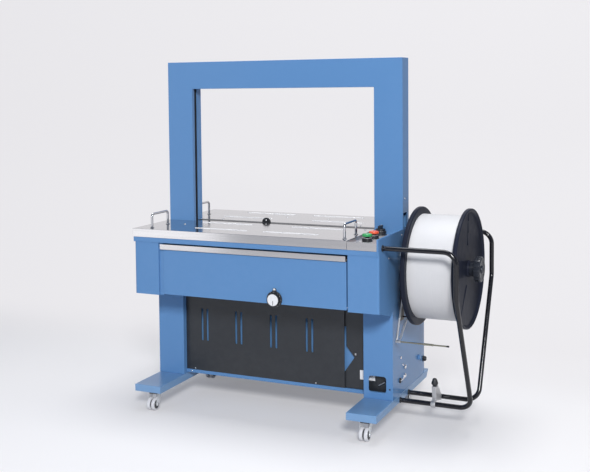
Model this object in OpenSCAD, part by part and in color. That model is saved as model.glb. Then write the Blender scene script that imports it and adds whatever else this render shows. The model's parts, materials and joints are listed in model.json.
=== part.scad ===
// Semi automatic strapping machine with a fixed arch, a lift-off table and an outside strap reel.
// +X is the reel side, -Y is the operator side, +Z is up and the wheels stand on Z = 0.

/* [Arch] */
// Width of the opening that the load passes through
arch_open_w = 850; // [700:10:1100]
// Height of the opening above the table
arch_open_h = 585; // [400:5:800]
// Width of each arch leg
arch_leg_w = 122; // [110:1:150]
// Height of the top beam
arch_beam_h = 118; // [90:1:160]
// Depth of the arch, front to back
arch_depth = 78; // [70:1:78]
// Width of the strap slot in the inner faces of the arch
arch_slot_w = 20; // [14:1:26]

/* [Table] */
// Height of the table top above the floor
table_h = 780; // [760:5:900]
// Distance from the arch to the front edge of the table
table_front = 342; // [342:2:420]
// Distance from the arch to the back edge of the table
table_back = 366; // [366:2:440]
// Height of the folded edge of the table plates
lip_h = 34; // [28:1:40]
// Thickness of the table plates
plate_t = 2; // [1.5:0.5:3]
// Height of the table frame that shows under the lip
flange_h = 21; // [15:1:30]
// Length of a glide strip
glide_l = 245; // [150:5:250]
// Width of a glide strip
glide_w = 9; // [6:0.5:14]

/* [Body] */
// Height of the underside of the body
body_floor = 504; // [480:2:540]
// Thickness of the sheet metal
sheet = 2.5; // [1.5:0.5:3]
// Thickness of the tension dial's ring
dial_t = 8; // [3:0.5:12]
// Radius of the tension knob
knob_r = 25; // [20:1:32]
// Gap between the service flap's grip and the table's folded edge
grip_gap = 26; // [20:1:60]

/* [Stand] */
// Width of an upright and of its foot
upright_w = 124; // [110:1:124]
// Depth of an upright, front to back
upright_d = 449; // [420:1:460]
// Height of the feet's underside, which is the height of the casters
caster_h = 88; // [80:1:100]
// Thickness of a foot
foot_t = 30; // [24:1:36]
// Length of a foot along its top
foot_l = 694; // [660:2:720]
// Radius of a caster wheel
wheel_r = 27; // [22:1:30]

/* [Strap reel] */
// Radius of the reel's flanges
flange_r = 239; // [225:1:240]
// Radius of the full strap coil
coil_r = 210; // [120:1:215]
// Radius of the coil's core
core_r = 100; // [80:1:105]
// Width of the strap coil
coil_w = 182; // [150:1:190]
// Height of the reel's axis above the floor
reel_h = 642; // [630:1:650]
// Radius of the guard tubes
tube_r = 9.5; // [8:0.5:14]

/* [Hidden] */
$fn = 64;
blue = "#4f86c6";
black = "#2b2d31";
steel = "#c9c7c2";
zinc = "#b4b6b8";

fit = 0.05;             // running clearance on a radius
gap = 0.3;              // clearance between pieces that move apart

// Arch and table
arch_in = arch_open_w / 2;
arch_out = arch_in + arch_leg_w;
arch_top = table_h + arch_open_h + arch_beam_h;
slot_y = -9;
table_out = arch_out + 1;
lip_z = table_h - lip_h;
plate_z = table_h - plate_t;
track_y0 = -15.5;
track_y1 = 35.5;
notch_x = arch_in - 1;
notch_y = arch_depth / 2 + 1;

// Operator panel, in the front right corner of the table
panel_x0 = arch_in - 4;
panel_z = table_h - 14;
panel_t = 3;
button_x = (panel_x0 + arch_out) / 2 - 16;
start_y = -table_front + 99;
stop_y = start_y + 77;
switch_y = -table_front + 278;

// Body
body_out = arch_out - 6;
body_front = -table_front + 6;
body_back = table_back - 6;
cover_out = table_out;
frame_wall = 3;
frame_z0 = lip_z - flange_h;
cover_top = lip_z - frame_wall;
side_top = table_h + 10;
corner_r = 8;
flap_x0 = -arch_in + 24;
flap_x1 = arch_in - 9;
flap_z0 = body_floor + 6;
grip_h = 23;
flap_z1 = lip_z - grip_gap - grip_h;
hinge_y = body_front + 10;
hinge_z = flap_z0 + 8;
hinge_r = 3;
knob_x = 112;
dial_r = knob_r + 8;
knob_z = body_floor + 25;
knob_stem_r = 4;
knob_out = 12;

// Stand
upright_out = body_out;
upright_in = upright_out - upright_w;
upright_mid = (upright_out + upright_in) / 2;
upright_y0 = -155;
upright_y1 = upright_y0 + upright_d;
foot_top = caster_h + foot_t;
foot_y0 = -354;
foot_y1 = foot_y0 + foot_l;
foot_wall = 3;
caster_y = [foot_y0 + 64, foot_y1 - 126];
stem_r = 6;
caster_trail = 20;
axle_r = 4;
wheel_w = 15;
wheel_gap = 6;
cheek_t = 2.5;

// Reel and guard
reel_y = -8;
shaft_r = 12.5;
rim_w = 18;
reel_x0 = cover_out + 52;
coil_x0 = reel_x0 + rim_w;
coil_x1 = coil_x0 + coil_w;
reel_x1 = coil_x1 + rim_w;
nut_l = 50;
guard_x = reel_x1 + 17;
guard_top = reel_h + 109;
guard_half = 288;
guard_kink = reel_h - 72;
guard_foot = 55;
guard_low = foot_top - 22;
bend_r = 50;

// Origin: the middle of the footprint, on the floor
right_end = reel_x1 + nut_l;
front_end = body_front - dial_t - gap - knob_out;
origin = [(table_out - right_end) / 2, -(front_end + table_back) / 2, 0];

// ---------- shared shapes ----------

module piece(tint) { color(tint) translate(origin) children(); }

// A box from its two corners
module span(low, high) { translate(low) cube(high - low); }

// A cylinder along X or Y between two stations
module rod_x(x0, x1, r) { translate([x0, 0, 0]) rotate([0, 90, 0]) cylinder(h = x1 - x0, r = r); }
module rod_y(y0, y1, r) { translate([0, y0, 0]) rotate([-90, 0, 0]) cylinder(h = y1 - y0, r = r); }

// A profile drawn in Y and Z, extruded along X between two stations
module along_x(x0, x1) { translate([x0, 0, 0]) rotate([90, 0, 90]) linear_extrude(x1 - x0) children(); }

// A profile drawn in X and Z, extruded along Y between two stations
module along_y(y0, y1) { translate([0, y1, 0]) rotate([90, 0, 0]) linear_extrude(y1 - y0) children(); }

module round_rect(x0, y0, x1, y1, r) {
    translate([x0 + r, y0]) square([x1 - x0 - 2 * r, y1 - y0]);
    translate([x0, y0 + r]) square([x1 - x0, y1 - y0 - 2 * r]);
    for (x = [x0 + r, x1 - r], y = [y0 + r, y1 - r]) translate([x, y]) circle(r);
}

// Points of a path whose inner corners are rounded to arcs of one radius
function unit(v) = v / norm(v);
function corner(a, b, c, r, steps) =
    let (u = unit(a - b), w = unit(c - b), half = acos(u * w) / 2,
         centre = b + unit(u + w) * r / sin(half),
         start = b + u * r / tan(half), finish = b + w * r / tan(half),
         p = start - centre, q = finish - centre, sweep = 180 - 2 * half)
    [for (i = [0 : steps]) let (t = i / steps)
        centre + (p * sin((1 - t) * sweep) + q * sin(t * sweep)) / sin(sweep)];
function rounded(path, r, steps) = concat([path[0]],
    [for (i = [1 : len(path) - 2]) each corner(path[i - 1], path[i], path[i + 1], r, steps)],
    [path[len(path) - 1]]);

// A round bar swept along a path
function heading(path, i) = let (n = len(path) - 1)
    unit((i < n ? unit(path[i + 1] - path[i]) : [0, 0, 0]) + (i > 0 ? unit(path[i] - path[i - 1]) : [0, 0, 0]));
function carried(path, i, side) = let (d = heading(path, i)) unit(side - d * (side * d));
function frames(path, side, i = 0) = i == len(path) ? [] :
    let (s = carried(path, i, side)) concat([s], frames(path, s, i + 1));
module swept_bar(path, r, sides, first_side) {
    side = frames(path, first_side);
    n = len(path);
    rings = [for (i = [0 : n - 1]) let (d = heading(path, i), s = side[i], t = cross(d, s))
        each [for (k = [0 : sides - 1]) path[i] + r * (cos(360 * k / sides) * s + sin(360 * k / sides) * t)]];
    walls = [for (i = [0 : n - 2], k = [0 : sides - 1])
        [i * sides + k, (i + 1) * sides + k, (i + 1) * sides + (k + 1) % sides, i * sides + (k + 1) % sides]];
    start = [for (k = [0 : sides - 1]) k];
    finish = [for (k = [sides - 1 : -1 : 0]) (n - 1) * sides + k];
    polyhedron(rings, concat(walls, [start, finish]), convexity = 6);
}

// ---------- feet and casters ----------

module foot(side) {
    x0 = side * upright_mid - upright_w / 2;
    slant = foot_t;
    piece(blue) difference() {
        along_x(x0, x0 + upright_w) polygon([[foot_y0, caster_h], [foot_y0, foot_top],
            [foot_y1, foot_top], [foot_y1 - slant, caster_h]]);
        along_x(x0 + foot_wall, x0 + upright_w - foot_wall) polygon([
            [foot_y0 + foot_wall, caster_h - 1], [foot_y0 + foot_wall, foot_top - foot_wall],
            [foot_y1 - 3 * foot_wall, foot_top - foot_wall],
            [foot_y1 - slant - 3 * foot_wall, caster_h - 1]]);
    }
}
module left_foot() foot(-1);
module right_foot() foot(1);

// Plates across the feet that carry the casters
caster_plate_t = 4;
module caster_plates() {
    half_w = upright_w / 2 - foot_wall;
    piece(zinc) for (side = [-1, 1], y = caster_y) translate([side * upright_mid, y, caster_h]) difference() {
        span([-half_w, -48, 0], [half_w, 48, caster_plate_t]);
        translate([0, 0, -1]) cylinder(h = caster_plate_t + 2, r = stem_r + fit);
    }
}

fork_half = wheel_w + wheel_gap / 2 + 0.7;
crown_z = caster_h - 18;
head_top = caster_h - gap;
module fork(side, y) {
    piece(zinc) translate([side * upright_mid, y, 0]) {
        translate([0, 0, crown_z + 3]) cylinder(h = head_top - crown_z - 3, r = 17);
        translate([0, 0, head_top]) cylinder(h = caster_plate_t + gap + 6, r = stem_r);
        span([-fork_half - cheek_t, -20, crown_z], [fork_half + cheek_t, 18, crown_z + 3]);
        for (x = [-fork_half - cheek_t, fork_half]) along_x(x, x + cheek_t) {
            polygon([[-20, crown_z], [18, crown_z], [-caster_trail + 8, wheel_r], [-caster_trail - 8, wheel_r]]);
            translate([-caster_trail, wheel_r]) circle(8);
        }
        translate([0, -caster_trail, wheel_r]) rod_x(-fork_half - cheek_t - 2, fork_half + cheek_t + 2, axle_r);
    }
}
module front_left_fork() fork(-1, caster_y[0]);
module front_right_fork() fork(1, caster_y[0]);
module back_left_fork() fork(-1, caster_y[1]);
module back_right_fork() fork(1, caster_y[1]);

module wheels(side, y) {
    piece("#e9e9ec") translate([side * upright_mid, y - caster_trail, wheel_r]) difference() {
        union() {
            rod_x(-wheel_gap / 2 - 1, wheel_gap / 2 + 1, 10);
            for (x = [-wheel_gap / 2 - wheel_w, wheel_gap / 2]) translate([x, 0, 0]) rotate([0, 90, 0])
                rotate_extrude() polygon([[0, 0], [wheel_r - 3, 0], [wheel_r, 3], [wheel_r, wheel_w - 3],
                    [wheel_r - 3, wheel_w], [0, wheel_w]]);
        }
        rod_x(-fork_half, fork_half, axle_r + fit);
    }
}
module front_left_wheels() wheels(-1, caster_y[0]);
module front_right_wheels() wheels(1, caster_y[0]);
module back_left_wheels() wheels(-1, caster_y[1]);
module back_right_wheels() wheels(1, caster_y[1]);

// ---------- stand ----------

upright_return = 25;
fold_y = upright_y1 - 54;
fold_in = 6;
module upright_outline(inset) polygon([
    [upright_in + inset, upright_y0 + inset], [upright_out - inset, upright_y0 + inset],
    [upright_out - inset, fold_y], [upright_out - fold_in - inset, upright_y1 - inset],
    [upright_in + inset, upright_y1 - inset]]);
module upright_channel() {
    end_t = 4;
    translate([0, 0, foot_top]) difference() {
        linear_extrude(body_floor - foot_top) upright_outline(0);
        translate([0, 0, end_t]) linear_extrude(body_floor - foot_top - 2 * end_t) {
            upright_outline(sheet);
            translate([upright_in - 1, upright_y0 + upright_return])
                square([sheet + 2, upright_d - 2 * upright_return]);
        }
    }
}
module left_upright() piece(blue) mirror([1, 0, 0]) upright_channel();
module right_upright() piece(blue) difference() {
    upright_channel();
    along_y(upright_y0 - 1, upright_y0 + sheet + 1)
        round_rect(upright_in + 22, foot_top + 27, upright_in + 96, foot_top + 93, 12);
}

rail_y0 = upright_y0 + upright_return;
rail_z0 = foot_top + 5;
rail_h = 15;
beam = 40;
body_rail_y = [upright_y0 + 5, upright_y1 - 54];
module square_tube(x0, x1, y, z, h) difference() {
    span([x0, y, z], [x1, y + beam, z + h]);
    span([x0 - 1, y + sheet, z + sheet], [x1 + 1, y + beam - sheet, z + h - sheet]);
}
module cross_rails() piece(blue) {
    square_tube(-upright_out + sheet, upright_out - sheet, rail_y0, rail_z0, rail_h);
    for (y = body_rail_y) square_tube(-body_out + sheet, cover_out - sheet, y, body_floor + sheet, beam);
}

// ---------- strap pool under the body ----------

pool_x1 = upright_in - 91;
pool_z0 = rail_z0 + rail_h;
pool_slots = 4;
module pool_front_panel() {
    fold = 7;
    pitch = 165;
    y0 = rail_y0;
    piece(black) difference() {
        union() {
            span([-upright_in, y0, pool_z0], [pool_x1, y0 + sheet, body_floor]);
            span([-upright_in, y0, pool_z0], [pool_x1, y0 + fold, pool_z0 + sheet]);
        }
        for (i = [0 : pool_slots - 1], dx = [-12.5, 12.5]) along_y(y0 - 1, y0 + sheet + 1)
            translate([-324 + pitch * i + dx, 0]) round_rect(-4.75, body_floor - 233, 4.75, body_floor - 92, 4.5);
    }
}
module pool_rear_panel() piece(blue)
    span([-upright_in, rail_y0 + 18, pool_z0], [upright_in, rail_y0 + 18 + sheet, body_floor]);

// Plate beside the pool that runs on into the right upright; its left edge has a notch and a narrow slit
module recess_panel() {
    y0 = rail_y0 + 8;
    x0 = pool_x1 - 6;
    x1 = upright_out - sheet;
    slit_x = pool_x1 + 5.5;
    inner_top = body_floor - 4 - gap;
    piece(black) along_y(y0, y0 + sheet) polygon([[x0, pool_z0], [x1, pool_z0], [x1, inner_top],
        [upright_in, inner_top], [upright_in, body_floor], [x0, body_floor], [x0, body_floor - 112],
        [slit_x, body_floor - 112], [slit_x, pool_z0 + 173], [pool_x1 + 41, pool_z0 + 129],
        [x0, pool_z0 + 62]]);
}

// ---------- body covers ----------

pan_inset = 44;
strip_inset = 8;
module body_pan() piece(blue) difference() {
    span([-body_out + sheet, body_front + pan_inset, body_floor], [cover_out - sheet, body_back - sheet, body_floor + sheet]);
    span([-150, -70, body_floor - 1], [150, 70, body_floor + sheet + 1]);
}

// A wall with a bend at its end: outside corner at the origin, walls along +X and +Y
module bent_wall(long_x, long_y, r) {
    difference() {
        union() {
            translate([r, 0]) square([long_x - r, sheet]);
            translate([0, r]) square([sheet, long_y - r]);
            intersection() {
                translate([r, r]) circle(r);
                square(r);
            }
        }
        translate([r, r]) circle(r - sheet);
    }
}
strip_x0 = -arch_in + 1;
strip_x1 = flap_x0 - 3;
module left_cover() piece(blue) translate([0, 0, body_floor]) linear_extrude(cover_top - body_floor) {
    translate([-body_out, body_front]) bent_wall(body_out + strip_x0, body_back - body_front, corner_r);
    translate([strip_x0 - sheet, body_front]) square([sheet, strip_inset + sheet]);
    translate([strip_x0 - sheet, body_front + strip_inset]) square([strip_x1 - strip_x0 + sheet, sheet]);
    translate([strip_x1 - sheet, body_front + strip_inset]) square([sheet, pan_inset - strip_inset]);
}
right_x0 = panel_x0;
module right_cover() piece(blue) difference() {
    right_cover_sheets();
    span([cover_out - 8, -arch_depth / 2, lip_z], [arch_out, arch_depth / 2, side_top + 1]);
}
module right_cover_sheets() {
    translate([0, 0, body_floor]) linear_extrude(cover_top - body_floor) {
        translate([cover_out, body_front]) mirror([1, 0])
            bent_wall(cover_out - right_x0, body_back - body_front, corner_r);
        translate([right_x0, body_front]) square([sheet, pan_inset]);
    }
    span([cover_out - sheet, body_front + corner_r, cover_top], [cover_out, body_back, side_top]);
    span([cover_out - 7, -table_front, side_top - sheet], [cover_out, body_back, side_top]);
    span([cover_out - 7, -table_front, frame_z0], [cover_out, -table_front + sheet, side_top - sheet]);
    span([cover_out - sheet, -table_front + sheet, cover_top], [cover_out, body_front + corner_r, side_top - sheet]);
    along_x(cover_out - sheet, cover_out) polygon([[body_front + corner_r, body_floor],
        [upright_y0 - 43, body_floor - 36], [upright_y0, body_floor - 10], [upright_y0, body_floor]]);
}
module rear_panel() piece(blue)
    span([-body_out + sheet, body_back - sheet, body_floor + sheet], [cover_out - sheet, body_back, cover_top]);

// ---------- table ----------

beam_y = [track_y0 - 14, track_y1 + 2.5];
rear_plate_x1 = cover_out - 7.5;
plate_clear = plate_t + gap;
module table_frame() piece(blue) {
    out = body_out + frame_wall;
    front = body_front - frame_wall;
    back = body_back + frame_wall;
    plate_x1 = panel_x0 - 1 - plate_clear;
    span([-out, front, frame_z0], [panel_x0 - 1, body_front, lip_z]);
    span([-out, front, lip_z], [plate_x1, body_front, plate_z]);
    span([panel_x0 - 1, front, frame_z0], [cover_out - 7, body_front, lip_z]);
    span([panel_x0, front, lip_z], [cover_out - 7, body_front, panel_z - panel_t]);
    span([-out, body_front, frame_z0], [-body_out, back, lip_z]);
    for (end = [[body_front, -notch_y], [notch_y, back]])
        span([-out, end[0], lip_z], [-body_out, end[1], plate_z]);
    span([-body_out, body_back, frame_z0], [cover_out - sheet, back, lip_z]);
    span([-body_out, body_back, lip_z], [rear_plate_x1 - plate_clear, back, plate_z]);
    for (i = [0, 1]) {
        span([-body_out + sheet, beam_y[i], frame_z0], [cover_out - sheet, beam_y[i] + 12, cover_top]);
        span([-notch_x + 2, beam_y[i], cover_top], [[plate_x1, notch_x - 2][i], beam_y[i] + 12, plate_z]);
    }
    for (x = [-body_out + sheet, notch_x]) span([x, -notch_y + 1, cover_top],
        [x + body_out - notch_x - sheet, notch_y - 1, lip_z]);
}

// A shallow tray turned over: a top sheet with folded edges
module tray(low, high, z0) difference() {
    span([low.x, low.y, z0], [high.x, high.y, table_h]);
    span([low.x + plate_t, low.y + plate_t, z0 - 1], [high.x - plate_t, high.y - plate_t, plate_z]);
}
front_y1 = track_y0 - 0.5;
back_y0 = track_y1 + 0.5;
module front_table_plate() piece(steel) difference() {
    tray([-table_out, -table_front], [panel_x0 - 1, front_y1], lip_z);
    span([-table_out - 1, -notch_y, lip_z - 1], [-notch_x, front_y1 + 1, table_h + 1]);
    span([-notch_x, front_y1 - plate_t - 1, lip_z - 1], [panel_x0, front_y1 + 1, plate_z]);
    span([-table_out + plate_t, -notch_y - 3, lip_z - 1], [-notch_x, -notch_y + 1, plate_z]);
}
module rear_table_plate() piece(steel) difference() {
    tray([-table_out, back_y0], [rear_plate_x1, table_back], lip_z);
    for (side = [-1, 1]) mirror([side < 0 ? 1 : 0, 0, 0])
        span([notch_x, back_y0 - 1, lip_z - 1], [table_out + 1, notch_y, table_h + 1]);
    span([-notch_x, back_y0 - 1, lip_z - 1], [notch_x, back_y0 + plate_t + 1, plate_z]);
}

handle_r = 5;
handle_h = 58;
module handle(x, y, length) translate([x, y, table_h]) {
    bend = 12;
    for (dy = [0, length]) translate([0, dy, 0]) cylinder(h = handle_h - bend, r = handle_r);
    translate([0, 0, handle_h]) rod_y(bend, length - bend, handle_r);
    for (i = [0, 1]) translate([0, i * length, 0]) mirror([0, i, 0]) translate([0, bend, handle_h - bend])
        rotate([90, 0, 90]) rotate([0, 0, 90]) rotate_extrude(angle = 90) translate([bend, 0]) circle(handle_r);
}
handle_x = [-table_out + 72, arch_in - 29];
module front_handles() piece("#c9cbcd") for (x = handle_x) handle(x, -table_front + 42, 125);
module rear_handles() piece("#c9cbcd") for (x = handle_x) handle(x, notch_y + 30, 120);

module glide(x, y) translate([x, y, table_h]) linear_extrude(1.5)
    round_rect(0, -glide_w / 2, glide_l, glide_w / 2, glide_w / 2 - 0.2);
module glide_row(y, left, right) for (x = [-arch_in + left, arch_in - right]) glide(x, y);
module front_glides() piece("#f2f2f2") {
    glide_row(slot_y - 64, 64, 356);
    glide_row(-table_front + 104, 121, 410);
}
module rear_glides() piece("#f2f2f2") {
    glide_row(table_back - 224, 55, 355);
    glide_row(table_back - 66, 98, 415);
}

// Channel for the strap between the table plates, with the half-round strap gate
module strap_track() piece(black) {
    difference() {
        span([-notch_x, track_y0, lip_z], [notch_x, track_y1, table_h - 0.5]);
        span([-notch_x - 1, slot_y - 6, lip_z + 10], [notch_x + 1, slot_y + 6, table_h]);
        span([-notch_x - 1, track_y0 + 18, lip_z - 1], [notch_x + 1, track_y1 - 4, table_h - 6]);
    }
    translate([-99, track_y1 - 9, table_h - 0.5]) intersection() {
        rod_y(0, 6, 20);
        span([-20, 0, 0], [20, 6, 20]);
    }
}

// ---------- operator panel ----------

button_r = 20;
bezel_h = 15;
plunger_r = 8;
switch_base_r = 23;
module operator_panel() piece(black) difference() {
    union() {
        span([panel_x0, body_front - frame_wall, panel_z - panel_t], [cover_out - sheet, -notch_y, panel_z]);
        for (y = [start_y, stop_y]) translate([button_x, y, panel_z]) cylinder(h = bezel_h, r = button_r - 1);
        translate([button_x - 8, switch_y, panel_z]) cylinder(h = bezel_h + 2, r = switch_base_r);
        for (y = [switch_y - 12, switch_y - 36]) translate([button_x + 40, y, panel_z]) cylinder(h = 3, r = 4);
    }
    for (y = [start_y, stop_y]) translate([button_x, y, panel_z - panel_t - 1])
        cylinder(h = bezel_h + panel_t + 2, r = plunger_r + fit);
    translate([button_x - 8, switch_y, panel_z + 4]) cylinder(h = bezel_h, r = plunger_r + fit);
}
module operator_lip() piece(steel) {
    span([panel_x0, -table_front, lip_z - 1], [cover_out - 7, -table_front + plate_t, table_h - 3]);
    span([panel_x0, -table_front + plate_t, panel_z], [cover_out - 7, -table_front + 8, panel_z + plate_t]);
}
travel = 4;
module button_cap(y) translate([button_x, y, panel_z]) {
    translate([0, 0, 2]) cylinder(h = bezel_h + travel, r = plunger_r);
    translate([0, 0, bezel_h + travel + 1]) cylinder(h = 8, r = button_r);
    translate([0, 0, bezel_h + travel + 9]) cylinder(h = 3, r1 = button_r, r2 = button_r - 4);
}
module start_button() piece("#2f9e48") button_cap(start_y);
module stop_button() piece("#f0603a") button_cap(stop_y);
module main_switch() piece("#1f2023") translate([button_x - 8, switch_y, panel_z]) {
    translate([0, 0, 6]) cylinder(h = bezel_h - 4 + gap, r = plunger_r);
    translate([0, 0, bezel_h + 2 + gap]) cylinder(h = 8, r = switch_base_r - 3);
    span([-5, -switch_base_r + 3, bezel_h + 10], [5, switch_base_r - 3, bezel_h + 24]);
}

// ---------- arch ----------

module arch_outline(inset) difference() {
    translate([-arch_out + inset, lip_z]) square([2 * (arch_out - inset), arch_top - lip_z - inset]);
    translate([-arch_in - inset, lip_z - 1]) square([2 * (arch_in + inset), arch_top - lip_z - arch_beam_h + 1 + inset]);
}
module arch_inner_band(from, to) difference() {
    translate([-arch_in - to, lip_z]) square([2 * (arch_in + to), arch_top - lip_z - arch_beam_h + to]);
    translate([-arch_in - from, lip_z - 1]) square([2 * (arch_in + from), arch_top - lip_z - arch_beam_h + 1 + from]);
}
module arch_housing() piece(blue) difference() {
    along_y(-arch_depth / 2, arch_depth / 2) arch_outline(0);
    along_y(-arch_depth / 2 + sheet, arch_depth / 2 - sheet) translate([0, -1]) arch_outline(sheet);
    along_y(slot_y - arch_slot_w / 2, slot_y + arch_slot_w / 2) translate([0, -1]) arch_inner_band(-1, sheet + 1);
    span([arch_out - sheet - 1, slot_y - 22, table_h + 16], [arch_out + 1, slot_y + 26, table_h + 74]);
}
module arch_track() piece(black) difference() {
    along_y(slot_y - 16, slot_y + 16) arch_inner_band(sheet, 22);
    along_y(slot_y - 7, slot_y + 7) translate([0, -1]) arch_inner_band(-1, 13);
}

// ---------- service flap ----------

flap_flange = 17;
module service_flap() piece(blue) difference() {
    union() {
        span([flap_x0, body_front, flap_z0], [flap_x1, body_front + sheet, flap_z1]);
        for (x = [flap_x0, flap_x1 - sheet])
            span([x, body_front + sheet, flap_z0], [x + sheet, body_front + sheet + flap_flange, flap_z1]);
        span([flap_x0 + sheet, body_front + sheet, flap_z1 - sheet],
            [flap_x1 - sheet, body_front + sheet + flap_flange, flap_z1]);
    }
    translate([0, hinge_y, hinge_z]) {
        rod_x(flap_x0 - 1, flap_x0 + sheet + 1, hinge_r + fit);
        rod_x(flap_x1 - sheet - 1, flap_x1 + 1, hinge_r + fit);
    }
    translate([knob_x, 0, knob_z]) rod_y(body_front - 1, body_front + sheet + 1, knob_stem_r + fit);
}
module hinge_rod() piece(zinc) translate([0, hinge_y, hinge_z]) rod_x(strip_x1, right_x0, hinge_r);

module flap_grip() {
    front = body_front - 7;
    back = body_front + sheet + flap_flange - 2;
    t = 1.5;
    x0 = -arch_in + 12;
    piece(steel) difference() {
        along_x(x0, flap_x1 - 1) {
            translate([body_front, flap_z1]) square([back - body_front, t]);
            translate([back - t, flap_z1]) square([t, grip_h]);
            translate([front, flap_z1 + grip_h - t]) square([back - front, t]);
            translate([front, flap_z1 + t]) square([t, grip_h - t]);
        }
        span([x0 - 1, body_front + strip_inset / 2, flap_z1 - 1], [flap_x0 - 1, back + 1, flap_z1 + grip_h + 1]);
    }
}
module tension_dial() piece(black) translate([knob_x, 0, knob_z]) {
    difference() {
        rod_y(body_front - dial_t, body_front, dial_r);
        rod_y(body_front - dial_t - 1, body_front + 1, knob_stem_r + fit);
    }
    along_y(body_front - 4, body_front) polygon([[-10, dial_r - 5], [10, dial_r - 5], [6, dial_r + 11], [-6, dial_r + 11]]);
}
module tension_knob() piece("#f4f4f4") translate([knob_x, body_front - dial_t - gap, knob_z]) {
    rotate([90, 0, 0]) rotate_extrude() polygon([[0, 0], [knob_r - 1.5, 0], [knob_r, 1.5], [knob_r, knob_out - 2],
        [knob_r - 2, knob_out], [0, knob_out]]);
    rod_y(0, dial_t + gap + sheet + 3, knob_stem_r);
}

// ---------- strap reel ----------

module reel_spindle() piece(zinc) translate([0, reel_y, reel_h]) {
    rod_x(cover_out, cover_out + 10, 60);
    rod_x(cover_out + 10, reel_x0 - 6, 32);
    rod_x(reel_x0 - 6, coil_x1 + 4, shaft_r);
}
// A disc with a thick rim and four broad stepped spokes; face_x is the side that touches the coil
module reel_flange(face_x, out) piece(black) translate([face_x, reel_y, reel_h]) mirror([out < 0 ? 1 : 0, 0, 0]) {
    spokes = 4;
    web = 9;
    spoke_w = 76;
    spoke_root = 50;
    rotate([0, 90, 0]) rotate_extrude() polygon([[shaft_r + 2, 0], [flange_r - 5, 0], [flange_r, 4],
        [flange_r, rim_w - 3], [flange_r - 3, rim_w], [flange_r - 9, rim_w], [flange_r - 17, web], [60, web],
        [52, rim_w], [shaft_r + 2, rim_w]]);
    for (i = [0 : spokes - 1], step = [[213, 2.5], [150, 5]]) rotate([-8 + i * 360 / spokes, 0, 0])
        along_x(web - 0.5, web + step[1]) translate([-spoke_w / 2, spoke_root])
            square([spoke_w, step[0] - spoke_root]);
}
module inner_flange() reel_flange(coil_x0, -1);
module outer_flange() reel_flange(coil_x1, 1);
module reel_core() piece("#3a3d42") translate([0, reel_y, reel_h]) difference() {
    rod_x(coil_x0, coil_x1, core_r - 0.2);
    rod_x(coil_x0 + 8, coil_x1 - 8, core_r - 4);
    rod_x(coil_x0 - 1, coil_x1 + 1, shaft_r + fit);
}
module strap_coil() piece("#f1f1f3") translate([0, reel_y, reel_h]) difference() {
    rod_x(coil_x0, coil_x1, coil_r);
    rod_x(coil_x0 - 1, coil_x1 + 1, core_r);
}
module hub_nut() {
    ridges = 16;
    steps = 4 * ridges;
    grip_r = 49;
    ridge = 2.5;
    piece("#232529") translate([reel_x1, reel_y, reel_h]) {
        rod_x(0, 21, 30);
        along_x(20, nut_l - 6) polygon([for (i = [0 : steps - 1])
            let (r = grip_r + ridge * cos(i * 90), a = i * 360 / steps) [r * cos(a), r * sin(a)]]);
        translate([nut_l - 7, 0, 0]) rotate([0, 90, 0]) cylinder(h = 3, r1 = grip_r - ridge, r2 = grip_r - 8);
        rod_x(nut_l - 5, nut_l, 16);
    }
}

// ---------- guard tubes ----------

module guard_tube(side) {
    y_top = reel_y + side * guard_half;
    y_low = reel_y + side * guard_foot;
    path = rounded([[cover_out, y_top, guard_top], [guard_x, y_top, guard_top], [guard_x, y_top, guard_kink],
        [guard_x, y_low, guard_low], [upright_out, y_low, guard_low]], bend_r, 8);
    piece("#1d1e21") swept_bar(path, tube_r, 16, [0, 1, 0]);
}
module front_guard_tube() guard_tube(-1);
module rear_guard_tube() guard_tube(1);

// ---------- dancer arm ----------

dancer_y = reel_y - 60;
dancer_z = reel_h - 109;
dancer_dy = -87;
dancer_dz = -173;
pin_r = 6;
arm_x = cover_out + 6;
arm_t = 5;
anchor = [dancer_y + 17, dancer_z - 96];
module dancer_bracket() piece("#3b3e43") {
    span([cover_out, anchor[0] - 30, anchor[1] - 12], [cover_out + 3, anchor[0] + 14, dancer_z + 20]);
    translate([0, dancer_y, dancer_z]) {
        rod_x(cover_out + 3, arm_x + arm_t + 2, pin_r);
        rod_x(arm_x + arm_t + 2, arm_x + arm_t + 5, pin_r + 4);
        rod_x(cover_out + 3, arm_x - gap, pin_r + 5);
    }
    translate([0, anchor[0], anchor[1]]) rod_x(cover_out + 3, arm_x + arm_t + 14, anchor_pin_r);
}
module dancer_arm() piece("#8f8e88") translate([0, dancer_y, dancer_z]) difference() {
    union() {
        rod_x(arm_x, arm_x + arm_t, 10);
        along_x(arm_x, arm_x + arm_t) hull() {
            circle(5.5);
            translate([dancer_dy, dancer_dz]) circle(5.5);
        }
        translate([0, dancer_dy, dancer_dz]) {
            rod_x(arm_x + arm_t, coil_x1 - 40, 3);
            rod_x(coil_x1 - 40, coil_x1 - 30, 4.5);
            rod_x(arm_x + arm_t, arm_x + arm_t + 14, arm_boss_r);
        }
    }
    rod_x(arm_x - 1, arm_x + arm_t + 1, pin_r + fit);
}
// Tension spring between the boss at the arm's end and the anchor pin
arm_boss_r = 6;
anchor_pin_r = 3;
wire_r = 0.9;
module dancer_spring() {
    turns = 14;
    steps = 10;
    coil = 4;
    x = arm_x + arm_t + 9;
    low = [x, dancer_y + dancer_dy, dancer_z + dancer_dz];
    high = [x, anchor[0], anchor[1]];
    along = unit(high - low);
    start = low + along * (arm_boss_r + wire_r + gap);
    finish = high - along * (anchor_pin_r + wire_r + gap);
    run = finish - start;
    across = [0, -along.z, along.y];
    helix = [for (i = [0 : turns * steps]) let (a = 360 * i / steps)
        start + run * (0.1 + 0.8 * i / (turns * steps)) + coil * (cos(a) * [1, 0, 0] + sin(a) * across)];
    piece("#c9a45a") swept_bar(concat([start], helix, [finish]), wire_r, 6, [1, 0, 0]);
}

// ---------- brake lever on the guard's foot ----------

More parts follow.
